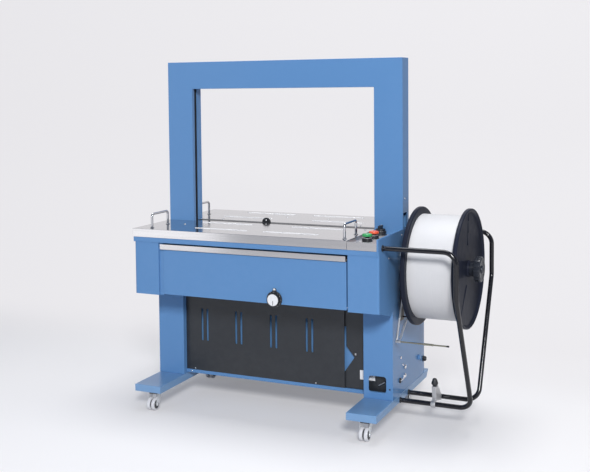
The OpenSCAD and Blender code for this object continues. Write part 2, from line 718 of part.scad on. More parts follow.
lever_x = guard_x - 155;
lever_w = 17;
lever_t = 18;
lever_boss_r = 14;
lever_y = reel_y - guard_foot;
lever_top = guard_low + 68;
module foot_lever() piece(zinc) difference() {
    union() {
        translate([0, lever_y, guard_low]) rod_x(lever_x - lever_w / 2, lever_x + lever_w / 2, lever_boss_r);
        along_x(lever_x - lever_t / 2, lever_x + lever_t / 2) polygon([[lever_y - 3, guard_low + 10],
            [lever_y + 10, guard_low + 2], [lever_y + 16, guard_low + 9], [lever_y + 86, guard_low - 7],
            [lever_y + 90, guard_low + 14], [lever_y + 38, lever_top], [lever_y + 7, lever_top],
            [lever_y + 12, guard_low + 14]]);
    }
    translate([0, lever_y, guard_low]) rod_x(lever_x - lever_w, lever_x + lever_w, tube_r + fit);
}
module lever_knob() piece("#1c1d20") translate([lever_x, lever_y + 20, lever_top]) {
    cylinder(h = 5, r = 9);
    translate([0, 0, 5]) cylinder(h = 7, r1 = 11, r2 = 13.5);
    translate([0, 0, 12]) cylinder(h = 12, r1 = 13.5, r2 = 10);
    translate([0, 0, 24]) cylinder(h = 8, r1 = 10, r2 = 5);
}

// ---------- mechanism inside the body ----------

head_x = 180;
head_plates = [for (y = beam_y) y + 2];
head_plate_t = 8;
cam_z = table_h - 140;
cam_shaft_r = 10;
feed_x = 120;
feed_r = 24;
pinch_r = 15;
feed_shaft_r = 6;
module head_bores(grow) {
    translate([0, 0, cam_z]) rod_y(head_plates[0] - 1, head_plates[1] + head_plate_t + 1, cam_shaft_r + grow);
    for (z = [cam_z, cam_z + feed_r + pinch_r]) translate([feed_x, 0, z])
        rod_y(head_plates[0] - 1, head_plates[1] + head_plate_t + 1, feed_shaft_r + grow);
}
module sealing_head() piece("#9a9da1") difference() {
    union() {
        for (y = head_plates) span([-head_x, y, table_h - 210], [head_x, y + head_plate_t, frame_z0]);
        for (x = [-head_x, head_x - 12]) span([x, head_plates[0] + head_plate_t, table_h - 205],
            [x + 12, head_plates[1], table_h - 175]);
        for (x = [-70, -20, 30]) {
            span([x, head_plates[0] + head_plate_t, table_h - 85], [x + 40, head_plates[1], frame_z0 - 1]);
            span([x, beam_y[0] + 12 + gap, frame_z0 - 1], [x + 40, beam_y[1] - gap, lip_z]);
        }
    }
    head_bores(fit);
}
module cam_shaft() {
    cams = 4;
    piece("#7d8084") translate([0, 0, cam_z]) {
        rod_y(head_plates[0] - 8, head_plates[1] + head_plate_t + 14, cam_shaft_r);
        for (i = [0 : cams - 1]) rotate([0, i * 75, 0]) translate([0, head_plates[0] + 12 + i * 13, 0]) {
            rod_y(0, 9, 26);
            translate([9, 0, 0]) rod_y(0, 9, 24);
        }
    }
}
module gear_motor() {
    y0 = head_plates[1] + head_plate_t + 16;
    piece("#4a4d52") translate([0, 0, cam_z]) {
        rod_y(y0, y0 + 20, 30);
        span([-50, y0 + 20, -50], [50, y0 + 90, 50]);
        rod_y(y0 + 90, y0 + 210, 44);
        span([-40, y0 + 26, body_floor + sheet - cam_z], [40, y0 + 84, -50]);
    }
}
module roller(z, r, tint) piece(tint) translate([feed_x, 0, z]) {
    rod_y(head_plates[0] - 4, head_plates[1] + head_plate_t + 4, feed_shaft_r);
    rod_y(slot_y - 8, slot_y + 8, r - 0.15);
}
module feed_roller() roller(cam_z, feed_r, "#26282b");
module pinch_roller() roller(cam_z + feed_r + pinch_r, pinch_r, "#d8d8d8");
module control_box() piece("#d9d9d4") {
    back = body_rail_y[1] - 10;
    front = back - 130;
    span([-body_out + 40, front, body_floor + sheet], [-body_out + 240, back, frame_z0 - 40]);
    span([-body_out + 50, front - 8, body_floor + 30], [-body_out + 230, front, frame_z0 - 55]);
}

// ---------- drawing ----------

left_foot();
right_foot();
left_upright();
right_upright();
cross_rails();
body_pan();
left_cover();
right_cover();
rear_panel();
table_frame();
front_table_plate();
rear_table_plate();
front_handles();
rear_handles();
front_glides();
rear_glides();
strap_track();
operator_panel();
operator_lip();
start_button();
stop_button();
main_switch();
arch_housing();
arch_track();
service_flap();
flap_grip();
hinge_rod();
tension_dial();
tension_knob();
pool_front_panel();
pool_rear_panel();
recess_panel();
reel_spindle();
inner_flange();
reel_core();
strap_coil();
outer_flange();
hub_nut();
front_guard_tube();
rear_guard_tube();
dancer_bracket();
dancer_arm();
dancer_spring();
foot_lever();
lever_knob();
caster_plates();
front_left_fork();
front_right_fork();
back_left_fork();
back_right_fork();
front_left_wheels();
front_right_wheels();
back_left_wheels();
back_right_wheels();
sealing_head();
cam_shaft();
gear_motor();
feed_roller();
pinch_roller();
control_box();
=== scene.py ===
"""The visual model of a semi automatic strapping machine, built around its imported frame.

Every size below is in millimetres from the foot of the arch's centre line, with +X towards
the strap reel, +Y away from the operator and +Z up. Only the studio and the patterns of the
finishes are in metres.
"""

import json
import logging
import math
from dataclasses import dataclass, field, replace
from enum import Enum
from typing import Any, Callable, Iterable, Mapping, Sequence

import bmesh
import bpy
from mathutils import Matrix, Vector

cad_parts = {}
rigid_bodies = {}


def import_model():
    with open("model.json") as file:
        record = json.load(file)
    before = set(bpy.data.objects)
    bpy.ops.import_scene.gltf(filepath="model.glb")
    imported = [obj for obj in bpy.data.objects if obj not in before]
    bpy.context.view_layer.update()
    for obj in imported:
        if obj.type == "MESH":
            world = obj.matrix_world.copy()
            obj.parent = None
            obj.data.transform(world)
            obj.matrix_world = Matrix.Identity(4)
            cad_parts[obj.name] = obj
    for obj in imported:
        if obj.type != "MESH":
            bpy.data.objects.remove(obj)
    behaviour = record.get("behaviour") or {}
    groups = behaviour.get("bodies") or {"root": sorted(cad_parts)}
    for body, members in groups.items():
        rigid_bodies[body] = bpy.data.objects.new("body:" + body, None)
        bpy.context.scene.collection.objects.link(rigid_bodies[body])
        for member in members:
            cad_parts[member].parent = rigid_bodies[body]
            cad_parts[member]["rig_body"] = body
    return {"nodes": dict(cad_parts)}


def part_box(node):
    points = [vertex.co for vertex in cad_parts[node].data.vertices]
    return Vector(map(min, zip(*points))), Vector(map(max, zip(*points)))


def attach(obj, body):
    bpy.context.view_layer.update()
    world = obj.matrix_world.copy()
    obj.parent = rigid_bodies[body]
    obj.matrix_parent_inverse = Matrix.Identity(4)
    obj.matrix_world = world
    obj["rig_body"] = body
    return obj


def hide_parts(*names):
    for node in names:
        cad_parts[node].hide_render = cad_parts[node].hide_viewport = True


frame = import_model()

log = logging.getLogger("strapping_machine")
Point = Sequence[float]
Pair = tuple[float, float]
Triple = tuple[float, float, float]
Socket = bpy.types.NodeSocket
MM = 0.001
ARCH_LOW, ARCH_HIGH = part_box("arch_housing")
DATUM = Vector(((ARCH_LOW.x + ARCH_HIGH.x) / 2, (ARCH_LOW.y + ARCH_HIGH.y) / 2, 0.0))


class Body(str, Enum):
    """The bodies that carry pieces made below, by their names in the frame."""

    MACHINE = "machine"
    FRONT_TABLE = "front_table"
    REAR_TABLE = "rear_table"
    SWITCH = "switch"
    FLAP = "flap"
    TENSION = "tension"
    REEL = "reel"
    DANCER = "dancer"
    LEVER = "lever"
    CAMS = "cams"
    FEED = "feed"
    PINCH = "pinch"


class Axis(Enum):
    """The machine's three axes as unit vectors."""

    X = (1.0, 0.0, 0.0)
    Y = (0.0, 1.0, 0.0)
    Z = (0.0, 0.0, 1.0)

    @property
    def vector(self) -> Vector:
        """The axis as a vector."""
        return Vector(self.value)

    def lift(self, along: float, u: float, v: float) -> Vector:
        """A point from its station on this axis and its two other coordinates in X, Y, Z order.

        Args:
            along: the coordinate on this axis.
            u: the first of the other two coordinates.
            v: the second of them.

        Returns:
            The point.
        """
        if self is Axis.X:
            return Vector((along, u, v))
        if self is Axis.Y:
            return Vector((u, along, v))
        return Vector((u, v, along))


RIGHT, BACK, UP = Axis.X.vector, Axis.Y.vector, Axis.Z.vector
FRONT = -BACK


# ---------------------------------------------------------------- geometry helpers


def stand(centre: Point, direction: Vector) -> Matrix:
    """A placement on a point that takes +Z to a direction."""
    return Matrix.Translation(Vector(centre)) @ direction.to_track_quat("Z", "Y").to_matrix().to_4x4()


def new_verts(made: Iterable[Any]) -> list[bmesh.types.BMVert]:
    """The vertices among what an operator made."""
    return [item for item in made if isinstance(item, bmesh.types.BMVert)]


def open_edges(made: Iterable[Any]) -> list[bmesh.types.BMEdge]:
    """The edges among what an operator made that bound one face only."""
    return [item for item in made if isinstance(item, bmesh.types.BMEdge) and len(item.link_faces) == 1]


def arc(centre: Point, radius: float, first_deg: float, sweep_deg: float, steps: int) -> list[Pair]:
    """The points of a round stretch of an outline.

    Args:
        centre: its centre, in the outline's two coordinates.
        radius: its radius.
        first_deg: the angle of its first point.
        sweep_deg: the angle that it turns through.
        steps: the number of its chords.

    Returns:
        Its points, with both ends.
    """
    angles = [math.radians(first_deg + sweep_deg * i / steps) for i in range(steps + 1)]
    return [(centre[0] + radius * math.cos(a), centre[1] + radius * math.sin(a)) for a in angles]


def rounded_path(points: Sequence[Point], radius: float, steps: int = 12) -> list[Vector]:
    """Rounds the inner corners of a path to arcs.

    Args:
        points: the path's corners.
        radius: the radius of each bend, on the path itself.
        steps: the number of chords in each bend.

    Returns:
        The rounded path's points.
    """
    corners = [Vector(p) for p in points]
    path = [corners[0]]
    for before, corner, after in zip(corners, corners[1:], corners[2:]):
        back = (before - corner).normalized()
        on = (after - corner).normalized()
        half = back.angle(on) / 2
        centre = corner + (back + on).normalized() * (radius / math.sin(half))
        start = corner + back * (radius / math.tan(half)) - centre
        finish = corner + on * (radius / math.tan(half)) - centre
        sweep = math.pi - 2 * half
        for i in range(steps + 1):
            t = i / steps
            mixed = start * math.sin((1 - t) * sweep) + finish * math.sin(t * sweep)
            path.append(centre + mixed / math.sin(sweep))
    path.append(corners[-1])
    return path


def round_edges(mesh: bmesh.types.BMesh, edges: Iterable[Any], width: float, steps: int) -> None:
    """Bevels edges if the width is more than nothing.

    Args:
        mesh: the mesh that holds the edges.
        edges: the edges to bevel.
        width: how far the bevel reaches from each edge.
        steps: the number of faces across the bevel.
    """
    chosen = list(edges)
    if width > 0 and chosen:
        bmesh.ops.bevel(
            mesh,
            geom=chosen,
            offset=width,
            offset_type="OFFSET",
            segments=steps,
            profile=0.5,
            affect="EDGES",
            clamp_overlap=True,
            material=-1,
        )


def face_weighted_normals(mesh: bpy.types.Mesh, limit_deg: float) -> None:
    """Sets normals weighted by face area, so broad faces look flat and rounded edges look round.

    Args:
        mesh: the finished mesh.
        limit_deg: the angle past which two faces don't share a normal.
    """
    limit = math.cos(math.radians(limit_deg))
    normals = [face.normal.copy() for face in mesh.polygons]
    areas = [face.area for face in mesh.polygons]
    around: list[list[int]] = [[] for _ in mesh.vertices]
    for face in mesh.polygons:
        for vertex in face.vertices:
            around[vertex].append(face.index)
    result = [Vector((0, 0, 1))] * len(mesh.loops)
    for face in mesh.polygons:
        own = normals[face.index]
        for loop in face.loop_indices:
            total = Vector()
            for other in around[mesh.loops[loop].vertex_index]:
                if normals[other].dot(own) > limit:
                    total += normals[other] * areas[other]
            result[loop] = total.normalized() if total.length > 0 else own
    mesh.shade_smooth()
    mesh.normals_split_custom_set(result)


class Shape:
    """A mesh under construction, in millimetres from the machine's datum."""

    def __init__(self) -> None:
        """Starts an empty shape."""
        self.mesh = bmesh.new()

    def take(self, part: bmesh.types.BMesh, place: Matrix | None = None) -> None:
        """Moves a finished part into this shape.

        Args:
            part: the part, which is freed.
            place: where the part goes, or None where it is already in place.
        """
        if place is not None:
            bmesh.ops.transform(part, matrix=place, verts=part.verts)
        data = bpy.data.meshes.new("part")
        part.to_mesh(data)
        part.free()
        self.mesh.from_mesh(data)
        bpy.data.meshes.remove(data)

    def block(self, low: Point, high: Point, edge: float = 0.8, steps: int = 2) -> None:
        """Adds a box with rounded edges.

        Args:
            low: the lowest corner.
            high: the highest corner.
            edge: the radius of its edges.
            steps: the faces across each rounded edge.
        """
        part = bmesh.new()
        bmesh.ops.create_cube(part, size=1.0)
        bmesh.ops.scale(part, vec=Vector(high) - Vector(low), verts=part.verts)
        bmesh.ops.translate(part, vec=(Vector(low) + Vector(high)) / 2, verts=part.verts)
        round_edges(part, part.edges, edge, steps)
        self.take(part)

    def prism(
        self,
        outline: Sequence[Point],
        axis: Axis,
        start: float,
        end: float,
        edge: float = 0.5,
        steps: int = 2,
    ) -> None:
        """Adds an outline drawn across an axis and extruded along it.

        Args:
            outline: the corners, in the other two coordinates.
            axis: the axis of the extrusion.
            start: the station of the first face.
            end: the station of the second face.
            edge: the radius of the edges.
            steps: the faces across each rounded edge.
        """
        part = bmesh.new()
        face = part.faces.new([part.verts.new(axis.lift(start, u, v)) for u, v in outline])
        made = bmesh.ops.extrude_face_region(part, geom=[face])["geom"]
        bmesh.ops.translate(part, vec=axis.vector * (end - start), verts=new_verts(made))
        bmesh.ops.recalc_face_normals(part, faces=part.faces)
        round_edges(part, part.edges, edge, steps)
        self.take(part)

    def turned(self, profile: Sequence[Point], centre: Point, direction: Vector, steps: int = 48) -> None:
        """Adds a profile turned about a line, as on a lathe.

        Args:
            profile: pairs of distance along the line and radius, from one end to the other.
            centre: the point where the distance is nothing.
            direction: the way along the line.
            steps: the number of faces round.
        """
        part = bmesh.new()
        line = [part.verts.new((radius, 0.0, along)) for along, radius in profile]
        for first, second in zip(line, line[1:]):
            part.edges.new((first, second))
        bmesh.ops.spin(
            part,
            geom=part.verts[:] + part.edges[:],
            cent=(0, 0, 0),
            axis=(0, 0, 1),
            angle=math.tau,
            steps=steps,
            use_merge=True,
        )
        bmesh.ops.remove_doubles(part, verts=part.verts, dist=0.001)
        bmesh.ops.recalc_face_normals(part, faces=part.faces)
        self.take(part, stand(centre, direction))

    def rod(self, start: Point, end: Point, radius: float, edge: float = 0.6, steps: int = 32) -> None:
        """Adds a round rod with chamfered ends.

        Args:
            start: the middle of one end.
            end: the middle of the other end.
            radius: the rod's radius.
            edge: the size of the chamfers.
            steps: the number of faces round.
        """
        run = Vector(end) - Vector(start)
        near = [(0.0, 0.0), (0.0, radius - edge), (edge, radius)]
        far = [(run.length - along, round_at) for along, round_at in reversed(near)]
        self.turned(near + far, start, run, steps)

    def tube(self, path: Sequence[Point], radius: float, sides: int = 20) -> None:
        """Adds a round bar that follows a path.

        Args:
            path: the points of its centre line.
            radius: the bar's radius.
            sides: the number of faces round.
        """
        points = [Vector(p) for p in path]
        part = bmesh.new()
        ring = bmesh.ops.create_circle(part, cap_ends=True, radius=radius, segments=sides)["verts"]
        heading = (points[1] - points[0]).normalized()
        bmesh.ops.transform(part, matrix=stand(points[0], heading), verts=ring)
        edges = open_edges(part.edges)
        for i in range(1, len(points)):
            grown = bmesh.ops.extrude_edge_only(part, edges=edges)["geom"]
            ring, edges = new_verts(grown), open_edges(grown)
            bmesh.ops.translate(part, vec=points[i] - points[i - 1], verts=ring)
            onward = (points[min(i + 1, len(points) - 1)] - points[i - 1]).normalized()
            turn = heading.rotation_difference(onward).to_matrix()
            bmesh.ops.rotate(part, cent=points[i], matrix=turn, verts=ring)
            heading = onward
        bmesh.ops.contextual_create(part, geom=edges)
        bmesh.ops.recalc_face_normals(part, faces=part.faces)
        self.take(part)

    def hexagon(self, centre: Point, direction: Vector, across: float, height: float) -> None:
        """Adds a hexagon bolt head with its washer.

        Args:
            centre: the middle of the face that it sits on.
            direction: the way that the head stands out.
            across: the distance across the head's corners.
            height: the height of the head over its washer.
        """
        washer, spread, radius = 1.2, across * 0.62, across / 2
        self.turned([(0, 0), (0, spread), (washer, spread), (washer, 0)], centre, direction, 28)
        part = bmesh.new()
        bmesh.ops.create_cone(part, cap_ends=True, segments=6, radius1=radius, radius2=radius, depth=height)
        round_edges(part, part.edges, height * 0.12, 1)
        self.take(part, stand(centre, direction) @ Matrix.Translation((0, 0, washer + height / 2)))

    def screw(self, centre: Point, direction: Vector, radius: float) -> None:
        """Adds a domed screw head with a hexagon socket.

        Args:
            centre: the middle of the face that it sits on.
            direction: the way that the head stands out.
            radius: the radius of the head.
        """
        dome = ((0.25, 1.0), (0.5, 0.86), (0.58, 0.62))
        top, mouth_radius, depth = radius * dome[-1][0], radius * 0.45, radius * 0.4
        part = bmesh.new()
        bmesh.ops.create_circle(part, cap_ends=False, radius=radius, segments=24)
        outer = list(part.edges)
        for rise, size in dome:
            grown = bmesh.ops.extrude_edge_only(part, edges=outer)["geom"]
            outer = open_edges(grown)
            for vertex in new_verts(grown):
                flat = Vector((vertex.co.x, vertex.co.y, 0)).normalized() * radius * size
                vertex.co = (flat.x, flat.y, radius * rise)
        lifted = Matrix.Translation((0, 0, top))
        bmesh.ops.create_circle(part, cap_ends=False, radius=mouth_radius, segments=6, matrix=lifted)
        mouth = [edge for edge in part.edges if edge.is_wire]
        bmesh.ops.bridge_loops(part, edges=outer + mouth)
        grown = bmesh.ops.extrude_edge_only(part, edges=mouth)["geom"]
        bmesh.ops.translate(part, vec=(0, 0, -depth), verts=new_verts(grown))
        bmesh.ops.contextual_create(part, geom=open_edges(grown))
        bmesh.ops.holes_fill(part, edges=open_edges(part.edges), sides=0)
        bmesh.ops.recalc_face_normals(part, faces=part.faces)
        self.take(part, stand(centre, direction))

def from_node(node: str, fold: float, rim: float) -> Shape:
    """A copy of a frame node with its doubles merged and its edges rounded.

    Args:
        node: the node's name.
        fold: the radius where two broad faces meet.
        rim: the radius of the edges of thin material.

    Returns:
        The shape.
    """
    broad, flat, crease, weld = 7.0, math.radians(0.4), math.radians(28), 0.002
    shape = Shape()
    mesh = shape.mesh
    mesh.from_mesh(frame["nodes"][node].data)
    in_millimetres = Matrix.Scale(1 / MM, 4) @ Matrix.Translation(-DATUM)
    bmesh.ops.transform(mesh, matrix=in_millimetres, verts=mesh.verts)
    bmesh.ops.remove_doubles(mesh, verts=mesh.verts, dist=weld)
    bmesh.ops.dissolve_limit(mesh, angle_limit=flat, verts=mesh.verts, edges=mesh.edges)
    folds, rims = [], []
    for edge in mesh.edges:
        if len(edge.link_faces) != 2 or edge.calc_face_angle(0.0) < crease:
            continue
        length = max(edge.calc_length(), 0.01)
        width = min(face.calc_area() / length for face in edge.link_faces)
        (folds if width > broad and length > broad else rims).append(edge)
    round_edges(mesh, folds, fold, 3)
    round_edges(mesh, [e for e in rims if e.is_valid and e.calc_face_angle(0.0) > crease], rim, 2)
    return shape


# ---------------------------------------------------------------- shader graphs


class Graph:
    """Short calls for adding and joining the nodes of one tree."""

    def __init__(self, tree: bpy.types.NodeTree) -> None:
        """Works on a tree that may already hold nodes."""
        self.tree = tree

    def join(self, value: Any, target: Socket) -> None:
        """Gives an input its value.

        Args:
            value: an output socket, a number, a vector, or a colour without its alpha.
            target: the input's socket.
        """
        if isinstance(value, Socket):
            self.tree.links.new(value, target)
        elif target.type == "RGBA":
            target.default_value = (*value, 1.0)
        else:
            target.default_value = value

    def node(self, kind: str, inputs: Mapping[Any, Any] | None = None, **settings: Any) -> bpy.types.Node:
        """Adds a node.

        Args:
            kind: the node's type name without its ShaderNode prefix.
            inputs: values or output sockets for its inputs, by name or number.
            **settings: the node's own settings.

        Returns:
            The node.
        """
        made = self.tree.nodes.new(kind if kind.startswith("Node") else "ShaderNode" + kind)
        for key, value in settings.items():
            setattr(made, key, value)
        for key, value in (inputs or {}).items():
            self.join(value, made.inputs[key])
        return made

    def calc(self, operation: str, *values: Any) -> Socket:
        """The result of one math node, from its numbers or sockets in order."""
        return self.node("Math", dict(enumerate(values)), operation=operation).outputs[0]

    def product(self, first: Socket, second: Any) -> Socket:
        """Two vectors multiplied part by part."""
        return self.node("VectorMath", {0: first, 1: second}, operation="MULTIPLY").outputs[0]

    def noise(self, vector: Socket, scale: Any, detail: float) -> Socket:
        """A noise pattern's value at a vector, with its scale and its octaves."""
        return self.node("TexNoise", {"Vector": vector, "Scale": scale, "Detail": detail}).outputs[0]

    def ramp(self, value: Socket, old: Pair, new: Sequence[Any] = (0.0, 1.0)) -> Socket:
        """A value mapped from its old range to a new one, whose ends are numbers or sockets."""
        given = {"Value": value, "From Min": old[0], "From Max": old[1], "To Min": new[0], "To Max": new[1]}
        return self.node("MapRange", given).outputs[0]

    def blend(self, factor: Any, first: Any, second: Any) -> Socket:
        """Two colours mixed, with the factor saying how much of the second."""
        return self.node("Mix", {0: factor, 6: first, 7: second}, data_type="RGBA").outputs[2]


class GroupKind(Enum):
    """The shared effects."""

    DRIFT = "soft_drift"
    PEEL = "paint_peel"
    GRAIN = "drawn_grain"
    DUST = "settled_dust"
    # a painted highlight along edges that stand out
    EDGE_SHEEN = "edge_rub"


class EffectGroup(Graph):
    """A shared effect's node group under construction."""

    def __init__(self, kind: GroupKind, takes: Mapping[str, str], gives: Mapping[str, str]) -> None:
        """Starts the group with its sockets.

        Args:
            kind: which effect it is.
            takes: the socket type of each input, by name.
            gives: the socket type of each output, by name.
        """
        super().__init__(bpy.data.node_groups.new(kind.value, "ShaderNodeTree"))
        for way, sockets in (("INPUT", takes), ("OUTPUT", gives)):
            for label, socket in sockets.items():
                self.tree.interface.new_socket(label, in_out=way, socket_type="NodeSocket" + socket)
        self.given = self.node("NodeGroupInput").outputs
        self.result = self.node("NodeGroupOutput").inputs


class Effects:
    """Builds each shared node group once and places it in materials."""

    def __init__(self) -> None:
        """Starts with no group built."""
        self.built: dict[GroupKind, bpy.types.NodeTree] = {}
        self.makers: dict[GroupKind, Callable[[], bpy.types.NodeTree]] = {
            GroupKind.DRIFT: self.make_drift,
            GroupKind.PEEL: self.make_peel,
            GroupKind.GRAIN: self.make_grain,
            GroupKind.DUST: self.make_dust,
            GroupKind.EDGE_SHEEN: self.make_edge_sheen,
        }

    def place(self, graph: Graph, kind: GroupKind, **inputs: Any) -> Any:
        """Puts a group into a material.

        Args:
            graph: the material's graph.
            kind: which effect.
            **inputs: its inputs, with spaces written as underscores.

        Returns:
            The output sockets of the group's node.
        """
        if kind not in self.built:
            self.built[kind] = self.makers[kind]()
        given = {key.replace("_", " "): value for key, value in inputs.items()}
        return graph.node("Group", given, node_tree=self.built[kind]).outputs

    @staticmethod
    def make_drift() -> bpy.types.NodeTree:
        """A slow change of tone and gloss over a surface.

        Returns:
            The effect's node group.
        """
        takes = {
            "Vector": "Vector",
            "Colour": "Color",
            "Amount": "Float",
            "Gloss": "Float",
            "Gloss Spread": "Float",
        }
        group = EffectGroup(GroupKind.DRIFT, takes, {"Colour": "Color", "Roughness": "Float"})
        given = group.given
        slow = group.noise(given["Vector"], 2.3, 3.0)
        fast = group.noise(given["Vector"], 31.0, 4.0)
        less = group.calc("SUBTRACT", 1.0, given["Amount"])
        more = group.calc("ADD", 1.0, given["Amount"])
        tone = group.ramp(slow, (0.3, 0.7), (less, more))
        shade = group.node("VectorMath", {0: given["Colour"], "Scale": tone}, operation="SCALE")
        swing = group.ramp(group.calc("ADD", slow, fast), (0.7, 1.3), (-1.0, 1.0))
        scaled = group.calc("MULTIPLY", swing, given["Gloss Spread"])
        group.join(shade.outputs[0], group.result["Colour"])
        group.join(group.calc("ADD", given["Gloss"], scaled), group.result["Roughness"])
        return group.tree

    @staticmethod
    def make_peel() -> bpy.types.NodeTree:
        """The fine waves of a sprayed or moulded surface, as a height.

        Returns:
            The effect's node group.
        """
        takes = {"Vector": "Vector", "Scale": "Float", "Fine": "Float"}
        group = EffectGroup(GroupKind.PEEL, takes, {"Height": "Float"})
        vector, scale = group.given["Vector"], group.given["Scale"]
        coarse = group.noise(vector, scale, 1.0)
        fine = group.noise(vector, group.calc("MULTIPLY", scale, 4.5), 2.0)
        part = group.calc("MULTIPLY", fine, group.given["Fine"])
        group.join(group.calc("ADD", coarse, part), group.result["Height"])
        return group.tree

    @staticmethod
    def make_grain() -> bpy.types.NodeTree:
        """Long fine streaks, as on brushed or drawn metal.

        Returns:
            The effect's node group.
        """
        takes = {"Vector": "Vector", "Stretch": "Vector"}
        group = EffectGroup(GroupKind.GRAIN, takes, {"Height": "Float", "Streak": "Float"})
        drawn = group.product(group.given["Vector"], group.given["Stretch"])
        fine = group.noise(drawn, 1.0, 3.0)
        broad = group.noise(drawn, 0.12, 2.0)
        group.join(fine, group.result["Height"])
        group.join(group.ramp(group.calc("ADD", fine, broad), (0.7, 1.3)), group.result["Streak"])
        return group.tree

    @staticmethod
    def make_dust() -> bpy.types.NodeTree:
        """Pale dust near the floor and on faces that look up, as a mask.

        Returns:
            The effect's node group.
        """
        group = EffectGroup(GroupKind.DUST, {"Vector": "Vector", "Reach": "Float"}, {"Mask": "Float"})
        vector = group.given["Vector"]
        height = group.node("SeparateXYZ", {0: vector}).outputs[2]
        facing = group.node("SeparateXYZ", {0: group.node("NewGeometry").outputs["Normal"]}).outputs[2]
        low = group.ramp(height, (0.0, 0.35), (1.0, 0.25))
        upward = group.ramp(facing, (0.2, 1.0), (0.1, 1.0))
        specks = group.ramp(group.noise(vector, 75.0, 6.0), (0.42, 0.72))
        mask = group.calc("MULTIPLY", group.calc("MULTIPLY", low, upward), specks)
        group.join(group.calc("MULTIPLY", mask, group.given["Reach"]), group.result["Mask"])
        return group.tree

    @staticmethod
    def make_edge_sheen() -> bpy.types.NodeTree:
        """A painted highlight: lighter tone where edges stand out, patchy along them, as a mask.

        Returns:
            The effect's node group.
        """
        group = EffectGroup(GroupKind.EDGE_SHEEN, {"Vector": "Vector", "Amount": "Float"}, {"Mask": "Float"})
        edge = group.ramp(group.node("NewGeometry").outputs["Pointiness"], (0.515, 0.6))
        patchy = group.ramp(group.noise(group.given["Vector"], 40.0, 4.0), (0.35, 0.65), (0.4, 1.0))
        mask = group.calc("MULTIPLY", edge, patchy)
        group.join(group.calc("MULTIPLY", mask, group.given["Amount"]), group.result["Mask"])
        return group.tree


EFFECTS = Effects()


# ---------------------------------------------------------------- finishes


class Surface(Graph):
    """A finish's material under construction, with its shader's inputs and its object coordinates."""

    def __init__(self, finish: "Finish") -> None:
        """Starts a material that has the finish's plain values and its drifting tone and gloss.

        Args:
            finish: the finish.
        """
        self.material = bpy.data.materials.new(finish.name)
        self.material.use_nodes = True
        self.material.diffuse_color = (*finish.colour, 1.0)
        self.material.node_tree.nodes.clear()
        super().__init__(self.material.node_tree)
        plain = {
            "Metallic": finish.metallic,
            "Coat Weight": finish.coat,
            "Coat Roughness": finish.coat_gloss,
            "Specular IOR Level": finish.specular,
        }
        shader = self.node("BsdfPrincipled", plain)
        self.node("OutputMaterial", {"Surface": shader.outputs[0]})
        self.shader = shader.inputs
        self.vector = self.node("TexCoord").outputs["Object"]
        drift = self.effect(
            GroupKind.DRIFT,
            Colour=finish.colour,
            Amount=finish.drift,
            Gloss=finish.gloss,
            Gloss_Spread=finish.gloss_spread,
        )
        self.tone = drift["Colour"]
        self.join(self.tone, self.shader["Base Color"])
        self.join(drift["Roughness"], self.shader["Roughness"])

    def effect(self, kind: GroupKind, **inputs: Any) -> Any:
        """The outputs of a shared effect, read at the surface's object coordinates."""
        return EFFECTS.place(self, kind, Vector=self.vector, **inputs)

    def tint(self, amount: Any, colour: Triple) -> None:
        """Lays an amount of another colour over the tone."""
        self.tone = self.blend(amount, self.tone, colour)
        self.join(self.tone, self.shader["Base Color"])

    def raise_by(self, height: Socket, strength: float, depth: float) -> None:
        """Joins a height to the shader's normal, with a strength and a depth in metres."""
        bump = self.node("Bump", {"Strength": strength, "Distance": depth, "Height": height})
        self.join(bump.outputs[0], self.shader["Normal"])


def darker(colour: Triple, share: float) -> Triple:
    """A colour brought down to a share of itself."""
    return colour[0] * share, colour[1] * share, colour[2] * share


@dataclass(frozen=True)
class Finish:
    """A surface finish and the record's material slot that it belongs to."""

    name: str
    slot: str
    colour: Triple
    metallic: float = 0.0
    gloss: float = 0.4
    gloss_spread: float = 0.05
    drift: float = 0.03
    coat: float = 0.0
    coat_gloss: float = 0.12
    specular: float = 0.5

    def build(self) -> bpy.types.Material:
        """Builds the plain finish."""
        return Surface(self).material


@dataclass(frozen=True)
class PowderCoat(Finish):
    """Baked powder paint with a fine peel, a painted highlight along its edges and a little dust."""

    peel: float = 420.0
    peel_fine: float = 0.35
    peel_strength: float = 0.10
    peel_depth: float = 0.0006
    # strength and colour of the painted highlight along the edges
    edge_sheen: float = 0.25
    edge_sheen_colour: Triple = (0.45, 0.6, 0.85)
    dust: float = 0.12
    dust_colour: Triple = (0.62, 0.62, 0.63)

    def build(self) -> bpy.types.Material:
        """Builds the paint.

        Returns:
            Its material.
        """
        surface = Surface(self)
        # painted highlight: a lighter colour laid over the edges where they stand out
        surface.tint(surface.effect(GroupKind.EDGE_SHEEN, Amount=self.edge_sheen)[0], self.edge_sheen_colour)
        surface.tint(surface.effect(GroupKind.DUST, Reach=self.dust)[0], self.dust_colour)
        peel = surface.effect(GroupKind.PEEL, Scale=self.peel, Fine=self.peel_fine)
        surface.raise_by(peel[0], self.peel_strength, self.peel_depth)
        return surface.material


@dataclass(frozen=True)
class DrawnMetal(Finish):
    """Brushed, drawn or ground metal with streaks along one direction."""

    stretch: Triple = (5.0, 700.0, 700.0)
    streak: float = 0.10
    streak_cover: float = 0.6
    grain_strength: float = 0.12
    grain_depth: float = 0.0002

    def build(self) -> bpy.types.Material:
        """Builds the metal.

        Returns:
            Its material.
        """
        surface = Surface(self)
        grain = surface.effect(GroupKind.GRAIN, Stretch=self.stretch)
        amount = surface.ramp(grain["Streak"], (0.0, 1.0), (0.0, self.streak_cover))
        surface.tint(amount, darker(self.colour, 1 - 2 * self.streak))
        spread = (self.gloss - self.streak / 2, self.gloss + self.streak)
        surface.join(surface.ramp(grain["Streak"], (0.0, 1.0), spread), surface.shader["Roughness"])
        surface.raise_by(grain["Height"], self.grain_strength, self.grain_depth)
        return surface.material


